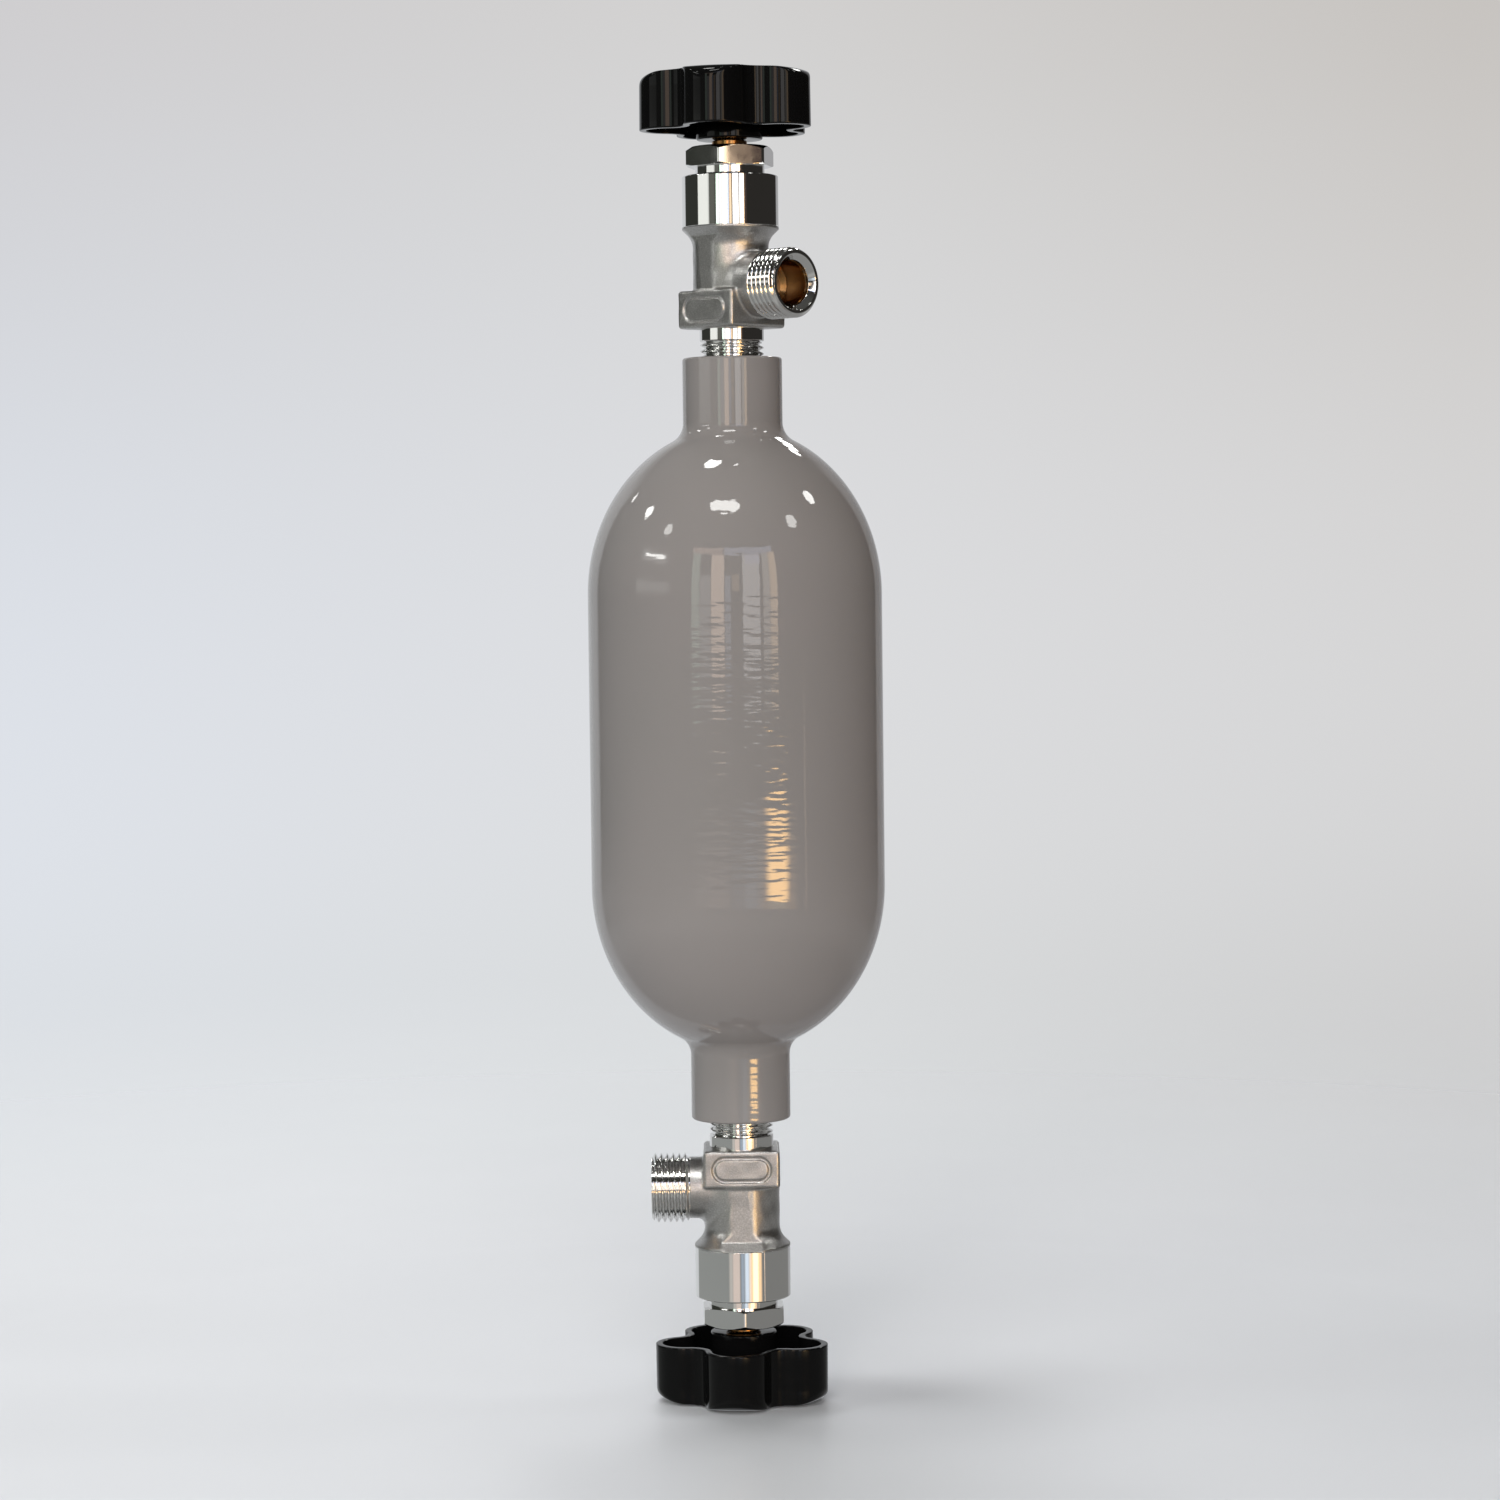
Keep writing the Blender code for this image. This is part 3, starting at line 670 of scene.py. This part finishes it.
def build_spindle_end(name, place):
    """The slotted end of the spindle: two cheeks either side of the drive blade."""
    verts, faces = [], []
    for sgn in (1, -1):
        base = len(verts)
        half_slot, R = 1.3, 5.7
        a0 = math.asin(half_slot / R)
        arc = [(R * math.cos(a0 + (math.pi - 2 * a0) * i / 40), R * math.sin(a0 + (math.pi - 2 * a0) * i / 40)) for i in range(41)]
        for d in (43.3, 47.5):
            for x, y in arc:
                verts.append((x, sgn * y, MID - d))
        n = len(arc)
        for i in range(n):
            j = (i + 1) % n
            faces.append((base + i, base + j, base + n + j, base + n + i))
        faces.append(tuple(base + i for i in range(n)))
        faces.append(tuple(base + n + i for i in reversed(range(n))))
    return obj_from(name, place(np.array(verts)), faces, BRASS, 32)


def build_coil(name, place, mean_r, wire, d0, d1, turns, mat):
    th_n, side = int(turns * 72), 14
    verts, faces = [], []
    for i in range(th_n + 1):
        a = 2 * math.pi * turns * i / th_n
        d = d0 + wire + (d1 - d0 - 2 * wire) * i / th_n
        for j in range(side):
            b = 2 * math.pi * j / side
            r = mean_r + wire * math.cos(b)
            verts.append((r * math.cos(a), r * math.sin(a), MID - d + wire * math.sin(b)))
    for i in range(th_n):
        for j in range(side):
            k = (j + 1) % side
            faces.append((i * side + j, i * side + k, (i + 1) * side + k, (i + 1) * side + j))
    faces.append(tuple(range(side)))
    faces.append(tuple(th_n * side + j for j in reversed(range(side))))
    return obj_from(name, place(np.array(verts)), faces, mat, 60)


def build_wheel_nut(name, place):
    th = hex_theta(24)
    hr = hex_r(th, 10.0, 0.12)
    rows = [(2.75, 3.5), (2.75, 0.9), (3.05, 0.8), (4.6, 0.8)]
    for i in range(13):
        d = 0.8 + 0.8 * i / 12
        rows.append((np.minimum(hr, 4.75 + (d - 0.8) * 1.75), d))
    for i in range(13):
        d = 2.8 + 0.8 * i / 12
        rows.append((np.minimum(hr, 4.75 + (3.6 - d) * 1.75), d))
    rows += [(4.6, 3.6), (3.05, 3.6)]
    return polar(name, rows, STEEL, place, th, sharp=28, closed=True)


def build_valve(side, lobe, hex_turn):
    P = mover(side)
    W = turned_by(P, lobe)
    wheel_body = f"{side}_wheel"

    def nm(x):
        return f"{side}_{x}"

    made = []

    def add(o, body, slot, *cad):
        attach(o, body)
        if cad:
            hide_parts(*cad)
        made.append(o)
        return o

    # forged middle
    forging = obj_from(nm("body_forging"), P(FORGE_V), FORGE_F, SATIN, 60, recalc=False)
    add(forging, "cylinder", "valve_chrome", nm("valve_body"))

    # collar with its neck-down cone and the bores behind it
    col = [(10.6, 31.3, 0.2), (14.5, 31.3, 0.4), (14.5, 46.62, 0.12), (10.0, 46.62, 0), (9.5, 48.0, 0),
           (6.0, 48.0, 0), (6.0, 38.2, 0), (10.6, 38.2, 0)]
    add(lathe(nm("body_collar"), rounded(col, 6), CHROME, P, 224, 34), "cylinder", "valve_chrome", nm("valve_body"))

    # side outlet: boss end, thread, lead chamfer, face, socket and its conical floor
    th = np.arange(176) * 2 * math.pi / 176
    x_end = 27.4
    limit = lambda x: 10.48 if x < x_end - 1.1 else 10.48 - (x - (x_end - 1.1)) * 0.9
    rows = [(0.0, 9.0), (9.0, 9.0), (9.1, 15.2), (9.22, 15.6)]
    rows += thread_rows(15.7, x_end - 0.12, 1.814, 9.32, 10.48, th, limit, 0.10, 1.3, 0.05)
    rows += [(9.36, x_end - 0.04), (9.2, x_end), (8.45, x_end), (8.3, x_end - 0.06), (6.8, x_end - 1.5), (6.7, x_end - 1.65), (6.7, 17.2), (6.55, 16.8), (2.9, 13.6), (2.5, 13.2), (2.5, 9.6), (0.0, 9.6)]
    rows = [(r, -x) for r, x in rows]
    rows = [(r, -d) for r, d in rows]
    S = sideways(P, 64.5)
    rows = [(r, MID - (MID + x)) for r, x in rows]      # station that makes z run along the outlet
    add(polar(nm("body_outlet"), [(r, d) for r, d in rows], CHROME_X, S, th, sharp=34), "cylinder", "valve_chrome", nm("valve_body"))

    # lining of the socket shows the bare brass under the plating; its dark brass colour is partly painted shade for the
    # dim inside of the socket
    lining = [(2.48, 9.8), (2.48, 13.25), (2.85, 13.62), (6.5, 16.84), (6.66, 17.25), (6.66, 24.6), (6.58, 24.6), (6.58, 17.25), (6.45, 16.95), (2.8, 13.75), (2.4, 13.35), (2.4, 9.8)]
    add(lathe(nm("socket_lining"), [(r, -x) for r, x in lining], BRASS, S, 128, 34), "cylinder", "spindle_brass")

    # inlet stem with the visible turns of its taper thread
    rows = [(0.0, 76.0), (9.6, 76.0), (9.7, 76.2), (9.7, 80.55), (9.5, 80.8)]
    rows += [(r, d) for r, d in thread_rows(80.85, 86.6, 1.814, 8.42, 9.6, th, lambda x: 9.6, 0.10, 0.5, 0.6)]
    rows += [(9.4, 86.8), (8.5, 103.2), (8.0, 103.7), (2.0, 103.7), (2.0, 76.4), (0.0, 76.4)]
    add(polar(nm("body_inlet"), rows, CHROME, P, th, sharp=34), "cylinder", "valve_chrome", nm("valve_body"))

    add(build_gland_nut(nm("nut"), turned_by(P, hex_turn)), "cylinder", "nut_chrome", nm("gland_nut"))

    # spindle and what turns with it
    add(build_spindle(nm("stem"), W), wheel_body, "spindle_brass", nm("spindle"))
    add(build_spindle_end(nm("stem_end"), W), wheel_body, "spindle_brass", nm("spindle"))
    add(build_wheel(nm("wheel_star"), W), wheel_body, "wheel_plastic", nm("handwheel"))
    add(build_coil(nm("spring"), P, 5.0, 0.5, 4.9, 7.7, 1.5, STEEL), wheel_body, "small_steel", nm("wheel_spring"))
    add(lathe(nm("washer"), rounded([(3.3, 3.9, 0.1), (6.0, 3.9, 0.15), (6.0, 4.6, 0.15), (3.3, 4.6, 0.1)], 3), STEEL, P, 96, 34), wheel_body, "small_steel", nm("wheel_washer"))
    add(build_wheel_nut(nm("small_nut"), W), wheel_body, "small_steel", nm("wheel_nut"))

    # hidden pieces keep their CAD meshes
    for piece, mat in (("body_gasket", NYLON), ("thrust_washer", NYLON), ("spindle_o_ring", RUBBER), ("drive_blade", STEEL),
                       ("valve_plug", BRASS), ("seat_disc", NYLON)):
        o = NODES[nm(piece)]
        o.data.materials.clear()
        o.data.materials.append(mat)
    return made


build_valve("top", -59.0, -57.9)
build_valve("bottom", 276.5, 268.25)


# ================================================================ floor
def floor():
    bm = bmesh.new()
    bmesh.ops.create_circle(bm, cap_ends=True, segments=128, radius=1.9)
    me = bpy.data.meshes.new("floor")
    bm.to_mesh(me)
    bm.free()
    o = bpy.data.objects.new("floor", me)
    o.location = (0, 0, -0.0002)
    bpy.context.scene.collection.objects.link(o)
    m, nt, sh = nodes_of("floor_sheet")
    out = nt.nodes["Material Output"]
    tc = n_new(nt, "ShaderNodeTexCoord")
    ln = n_new(nt, "ShaderNodeVectorMath", operation="LENGTH")
    nt.links.new(tc.outputs["Object"], ln.inputs[0])
    fade = span(nt, ln.outputs["Value"], 0.28, 1.25, 1.0, 0.0)
    fade = math_node(nt, "POWER", fade, 1.6)
    sy = n_new(nt, "ShaderNodeSeparateXYZ")
    nt.links.new(tc.outputs["Object"], sy.inputs[0])
    front = span(nt, sy.outputs[1], -1.1, -0.5, 0.0, 1.0)
    fade = math_node(nt, "MULTIPLY", fade, front)
    tex = noise(nt, tc.outputs["Object"], 9.0, 2.0)
    sheet = ramp(nt, tex, [(0.3, (0.580, 0.590, 0.618)), (0.7, (0.594, 0.604, 0.632))])
    # painted shade: the sheet's colour darkens towards the right, with a painted shadow close beside the object and a
    # fainter one in front of it
    side = span(nt, sy.outputs[0], -0.16, 0.34, 1.0, 0.80)
    off = n_new(nt, "ShaderNodeVectorMath", operation="DISTANCE")
    nt.links.new(tc.outputs["Object"], off.inputs[0])
    off.inputs[1].default_value = (0.052, 0.0, 0.0)
    painted_shadow_beside = math_node(nt, "POWER", span(nt, off.outputs["Value"], 0.0, 0.085, 1.0, 0.0), 1.5)
    painted_shadow_front = n_new(nt, "ShaderNodeVectorMath", operation="DISTANCE")
    nt.links.new(tc.outputs["Object"], painted_shadow_front.inputs[0])
    painted_shadow_front.inputs[1].default_value = (0.004, -0.060, 0.0)
    side = math_node(nt, "MULTIPLY", side, span(nt, painted_shadow_front.outputs["Value"], 0.02, 0.105, 0.90, 1.0))
    shade = math_node(nt, "MULTIPLY", side, math_node(nt, "SUBTRACT", 1.0, math_node(nt, "MULTIPLY", painted_shadow_beside, 0.26)))
    # the painted shade is multiplied into the sheet's colour
    tint = n_new(nt, "ShaderNodeMix", data_type="RGBA", blend_type="MULTIPLY")
    tint.inputs[0].default_value = 1.0
    nt.links.new(sheet, tint.inputs[6])
    nt.links.new(shade, tint.inputs[7])
    nt.links.new(tint.outputs[2], sh.inputs["Base Color"])
    sh.inputs["Roughness"].default_value = 0.38
    sh.inputs["Specular IOR Level"].default_value = 0.3
    tr = n_new(nt, "ShaderNodeBsdfTransparent")
    mx = n_new(nt, "ShaderNodeMixShader")
    nt.links.new(fade, mx.inputs[0])
    nt.links.new(tr.outputs[0], mx.inputs[1])
    nt.links.new(sh.outputs[0], mx.inputs[2])
    nt.links.new(mx.outputs[0], out.inputs["Surface"])
    me.materials.append(m)
    o.visible_glossy = False
    return o


floor()


# ================================================================ world: pale room with windows behind the camera
def make_world():
    w = bpy.data.worlds.new("studio")
    bpy.context.scene.world = w
    w.use_nodes = True
    nt = w.node_tree
    for n in list(nt.nodes):
        nt.nodes.remove(n)
    out = n_new(nt, "ShaderNodeOutputWorld")
    tc = n_new(nt, "ShaderNodeTexCoord")
    sep = n_new(nt, "ShaderNodeSeparateXYZ")
    nt.links.new(tc.outputs["Generated"], sep.inputs[0])
    X, Y, Z = sep.outputs
    deg = 180 / math.pi
    # azimuth from the viewer's side (-Y), positive to +X; elevation
    az = math_node(nt, "MULTIPLY", math_node(nt, "ARCTAN2", X, math_node(nt, "MULTIPLY", Y, -1.0)), deg)
    el = math_node(nt, "MULTIPLY", math_node(nt, "ARCSINE", Z), deg)
    az_back = math_node(nt, "MULTIPLY", math_node(nt, "ARCTAN2", X, Y), deg)

    def step(v, edge, soft, up=True):
        m = n_new(nt, "ShaderNodeMapRange", interpolation_type="SMOOTHSTEP")
        m.inputs["From Min"].default_value = edge - soft
        m.inputs["From Max"].default_value = edge + soft
        m.inputs["To Min"].default_value = 0.0 if up else 1.0
        m.inputs["To Max"].default_value = 1.0 if up else 0.0
        nt.links.new(v, m.inputs["Value"])
        return m.outputs["Result"]

    def patch(a0, a1, e0, e1, soft_a=0.5, soft_e=0.8):
        f = math_node(nt, "MULTIPLY", step(az, a0, soft_a), step(az, a1, soft_a, False))
        g = math_node(nt, "MULTIPLY", step(el, e0, soft_e), step(el, e1, soft_e, False))
        return math_node(nt, "MULTIPLY", f, g)

    def rgb(c, k=1.0):
        n = n_new(nt, "ShaderNodeRGB")
        n.outputs[0].default_value = (c[0] * k, c[1] * k, c[2] * k, 1)
        return n.outputs[0]

    def mix(fac, a, b, mode="MIX"):
        n = n_new(nt, "ShaderNodeMix", data_type="RGBA", blend_type=mode, clamp_factor=True)
        n.clamp_result = False
        if isinstance(fac, (int, float)):
            n.inputs[0].default_value = fac
        else:
            nt.links.new(fac, n.inputs[0])
        nt.links.new(a, n.inputs[6])
        nt.links.new(b, n.inputs[7])
        return n.outputs[2]

    # what surfaces reflect: a dim room on the viewer's side, the pale backdrop behind the object
    def disc(a, e, r, soft=0.6):
        """1 within r degrees of a direction."""
        ar, er = math.radians(a), math.radians(e)
        n = n_new(nt, "ShaderNodeVectorMath", operation="DOT_PRODUCT")
        nt.links.new(tc.outputs["Generated"], n.inputs[0])
        n.inputs[1].default_value = (math.sin(ar) * math.cos(er), -math.cos(ar) * math.cos(er), math.sin(er))
        m = n_new(nt, "ShaderNodeMapRange", interpolation_type="SMOOTHSTEP")
        m.inputs["From Min"].default_value = math.cos(math.radians(r + soft))
        m.inputs["From Max"].default_value = math.cos(math.radians(max(r - soft, 0.01)))
        nt.links.new(n.outputs["Value"], m.inputs["Value"])
        return m.outputs["Result"]

    low_left, low_right = (0.315, 0.328, 0.318), (0.235, 0.235, 0.228)
    left_room = ramp(nt, span(nt, el, -30, 60, 0, 1), [(0.0, (0.34, 0.35, 0.345)), (0.08, (0.50, 0.51, 0.50)), (0.155, (0.48, 0.49, 0.48)), (0.19, low_left), (0.27, low_left), (0.292, (0.05, 0.053, 0.048)), (0.33, (0.032, 0.034, 0.030)), (0.60, (0.05, 0.054, 0.044)), (1.0, (0.075, 0.075, 0.07))])
    right_room = ramp(nt, span(nt, el, -30, 60, 0, 1), [(0.0, (0.28, 0.28, 0.275)), (0.08, (0.42, 0.42, 0.41)), (0.155, (0.38, 0.38, 0.37)), (0.19, low_right), (0.27, low_right), (0.292, (0.045, 0.044, 0.040)), (0.33, (0.028, 0.026, 0.024)), (0.60, (0.028, 0.026, 0.023)), (1.0, (0.075, 0.075, 0.07))])
    env = mix(step(az, -20, 25), left_room, right_room)
    backdrop = mix(step(az_back, 5, 22), rgb((0.68, 0.70, 0.72)), rgb((0.40, 0.40, 0.41)))
    edge = math_node(nt, "MULTIPLY", step(az_back, -44, 2.5), step(az_back, 37, 2.5, False))
    edge = math_node(nt, "MULTIPLY", edge, step(el, 30, 8.0, False))
    env = mix(edge, env, backdrop)
    # side window on the left: brightest low down
    env = mix(patch(-83.2, -51.5, 1.2, 7.6, 0.9, 1.6), env, rgb((1.0, 1.02, 0.97), 1.05))
    env = mix(patch(-83, -52, 11, 23, 5.0, 3.0), env, rgb((0.9, 0.92, 0.86), 0.16))
    env = mix(patch(-52, -36, -1, 14, 5.0, 4.0), env, rgb((0.30, 0.31, 0.27), 0.45))
    # windows behind the viewer
    panes = [
        (-34, -27.5, -1.5, 24.5, (0.72, 0.90, 0.76), 2.2),
        (-27, -19, -1.5, 12, (1.0, 1.0, 1.0), 1.3),
        (-18.5, -8.3, -1.5, 24.5, (1.0, 0.76, 0.60), 4.4),
        (-7.6, -3.2, -1.5, 12, (0.75, 0.82, 1.0), 1.6),
        (-2.0, 3.4, 2.0, 12, (1.0, 0.74, 0.5), 1.4),
        (6.2, 19.5, -1.5, 24.5, (1.0, 0.97, 0.96), 3.2),
        (8.2, 20.5, 17.5, 24.0, (0.86, 0.86, 1.0), 3.6),
        (22.0, 27.4, -1.5, 24.5, (1.0, 0.93, 0.85), 2.2),
        (27.6, 33.25, -1.5, 24.5, (1.0, 0.74, 0.50), 4.0),
        (33.3, 39.0, -1.5, 24.5, (1.0, 0.70, 0.60), 0.085),
        (-35, -9.5, 24.6, 27.4, (1.0, 0.74, 0.62), 2.3),
        (-8.5, 31.5, 24.6, 27.8, (0.74, 0.79, 1.0), 2.4),
    ]
    for a0, a1, e0, e1, c, k in panes:
        env = mix(patch(a0, a1, e0, e1, 0.35, 0.5), env, rgb(c, k))
    # their sheen on the bench in front, and a warm low patch of sun
    env = mix(patch(-33, -24, -11.9, -4.5, 3.0, 0.3), env, rgb((0.60, 0.57, 0.53)))
    env = mix(patch(-24, -7, -11.9, -4.5, 2.0, 0.3), env, rgb((0.82, 0.69, 0.62)))
    env = mix(patch(-4.5, 3.5, -11.9, -4.5, 3.0, 0.3), env, rgb((0.42, 0.49, 0.58)))
    env = mix(patch(5, 15, -11.9, -4.5, 2.5, 0.3), env, rgb((0.90, 1.02, 1.16)))
    env = mix(patch(15, 24, -11.9, -4.5, 2.0, 0.3), env, rgb((1.16, 1.02, 0.90)))
    env = mix(patch(19, 46, -11.9, -4.25, 3.0, 0.4), env, rgb((1.35, 0.92, 0.55)))
    env = mix(patch(24.5, 37.5, -11.9, -7.6, 2.5, 0.4), env, rgb((2.2, 1.75, 1.1)))
    env = mix(patch(23.0, 39.0, -8.2, -4.05, 3.5, 0.35), env, rgb((17.0, 10.0, 3.6)))
    env = mix(patch(53.7, 54.7, -11.2, -2.0, 0.3, 0.6), env, rgb((1.6, 1.2, 0.9)))
    # ceiling lamps, and the bright strip low on the left
    lamps = [(-122, 76.8, 4.8, 22), (163, 86.6, 1.8, 12), (-22, 56.2, 4.6, 14), (-12, 56.3, 4.8, 14), (-1, 56.3, 4.6, 14),
             (-96, 37.3, 3.3, 16), (-64, 34.6, 3.2, 8), (97, 44.5, 3.6, 14), (58.9, 40.1, 3.9, 9), (-127, 31.2, 1.4, 8),
             (164, 31.8, 2.0, 22), (159, 35.0, 2.2, 22), (153, 38.6, 2.0, 22)]
    for a, e, r, k in lamps:
        env = mix(disc(a, e, r), env, rgb((1.0, 1.0, 0.97), k))
    env = mix(patch(-81, -57, 16.8, 22.0, 3.0, 1.5), env, rgb((1.0, 1.0, 0.97), 2.0))
    env = mix(patch(-78, -59, 18.7, 20.3, 1.5, 0.5), env, rgb((1.0, 1.0, 0.97), 15.0))

    # what the camera sees past the floor: the seamless backdrop
    ab = math_node(nt, "MULTIPLY", math_node(nt, "ARCTAN2", X, Y), deg)
    e01 = span(nt, el, -12, 9, 0, 1)
    sRGB = lambda c: tuple(((v / 255 + 0.055) / 1.055) ** 2.4 for v in c)
    left_c = ramp(nt, e01, [(0.0, sRGB((224, 228, 231))), (0.22, sRGB((217, 221, 225))), (0.38, sRGB((224, 228, 235))), (0.62, sRGB((218, 222, 229))), (0.85, sRGB((209, 209, 212))), (1.0, sRGB((206, 204, 205)))])
    mid_c = ramp(nt, e01, [(0.0, sRGB((219, 222, 224))), (0.22, sRGB((215, 218, 219))), (0.38, sRGB((221, 222, 224))), (0.62, sRGB((220, 221, 224))), (0.85, sRGB((213, 213, 213))), (1.0, sRGB((209, 207, 206)))])
    right_c = ramp(nt, e01, [(0.0, sRGB((206, 206, 206))), (0.22, sRGB((203, 203, 203))), (0.38, sRGB((214, 214, 215))), (0.62, sRGB((214, 213, 213))), (0.85, sRGB((202, 199, 196))), (1.0, sRGB((197, 193, 189)))])
    for c in (left_c, mid_c, right_c):
        c.node.color_ramp.interpolation = "B_SPLINE"
    cam = mix(span(nt, ab, -10.5, 0, 0, 1), left_c, mid_c)
    cam = mix(span(nt, ab, 0, 10.5, 0, 1), cam, right_c)

    lp = n_new(nt, "ShaderNodeLightPath")
    # scattered light: the same room without its small bright things, so that it stays calm
    soft = mix(step(az, 0, 75), rgb((0.085, 0.108, 0.100)), rgb((0.022, 0.020, 0.020)))
    soft = mix(step(az_back, -60, 20.0), soft, mix(step(az_back, 60, 20.0, False), soft, rgb((0.13, 0.135, 0.135))))
    soft = mix(step(el, 35, 30.0), soft, rgb((0.12, 0.125, 0.122)))
    env = mix(lp.outputs["Is Diffuse Ray"], env, soft)
    final = mix(lp.outputs["Is Camera Ray"], env, cam)
    bg = n_new(nt, "ShaderNodeBackground")
    nt.links.new(final, bg.inputs["Color"])
    nt.links.new(bg.outputs[0], out.inputs["Surface"])


make_world()


def area(name, loc, target, size, power, colour=(1, 1, 1), spread=180, glossy=True):
    ld = bpy.data.lights.new(name, "AREA")
    ld.shape = "RECTANGLE"
    ld.size, ld.size_y = size
    ld.energy = power
    ld.color = colour
    ld.spread = math.radians(spread)
    o = bpy.data.objects.new(name, ld)
    o.location = loc
    o.rotation_mode = "QUATERNION"
    o.rotation_quaternion = (Vector(target) - Vector(loc)).to_track_quat("-Z", "Y")
    o.visible_camera = False
    o.visible_glossy = glossy
    bpy.context.scene.collection.objects.link(o)
    return o


area("key", (-0.22, -2.7, 0.80), (0, 0, 0.2), (1.4, 1.1), 68, (1.0, 0.985, 0.965), glossy=False)
area("left", (-1.75, -0.30, 1.12), (0, 0, 0.1), (0.45, 0.45), 6.5, (0.93, 1.0, 0.98), glossy=False)
area("above", (-0.3, 1.8, 2.2), (0, 0, 0.0), (1.4, 1.0), 42, (0.985, 0.985, 1.0), glossy=False)


# ================================================================ camera
def camera():
    cd = bpy.data.cameras.new("camera")
    cd.sensor_width = 36.0
    cd.lens = 94.29
    cd.clip_start, cd.clip_end = 0.05, 50
    o = bpy.data.objects.new("camera", cd)
    pitch, yaw, roll = math.radians(2.825), math.radians(0.194), math.radians(-0.68)
    fwd = Vector((math.sin(yaw) * math.cos(pitch), math.cos(yaw) * math.cos(pitch), -math.sin(pitch)))
    right = fwd.cross(Vector((0, 0, 1))).normalized()
    up = right.cross(fwd).normalized()
    m = Matrix((right, up, -fwd)).transposed().to_4x4() @ Matrix.Rotation(roll, 4, "Z")
    m.translation = Vector((0.0, -1.19, 0.2565))
    o.matrix_world = m
    bpy.context.scene.collection.objects.link(o)
    bpy.context.scene.camera = o


camera()
bpy.context.scene.view_settings.view_transform = "Standard"
bpy.context.scene.view_settings.look = "None"
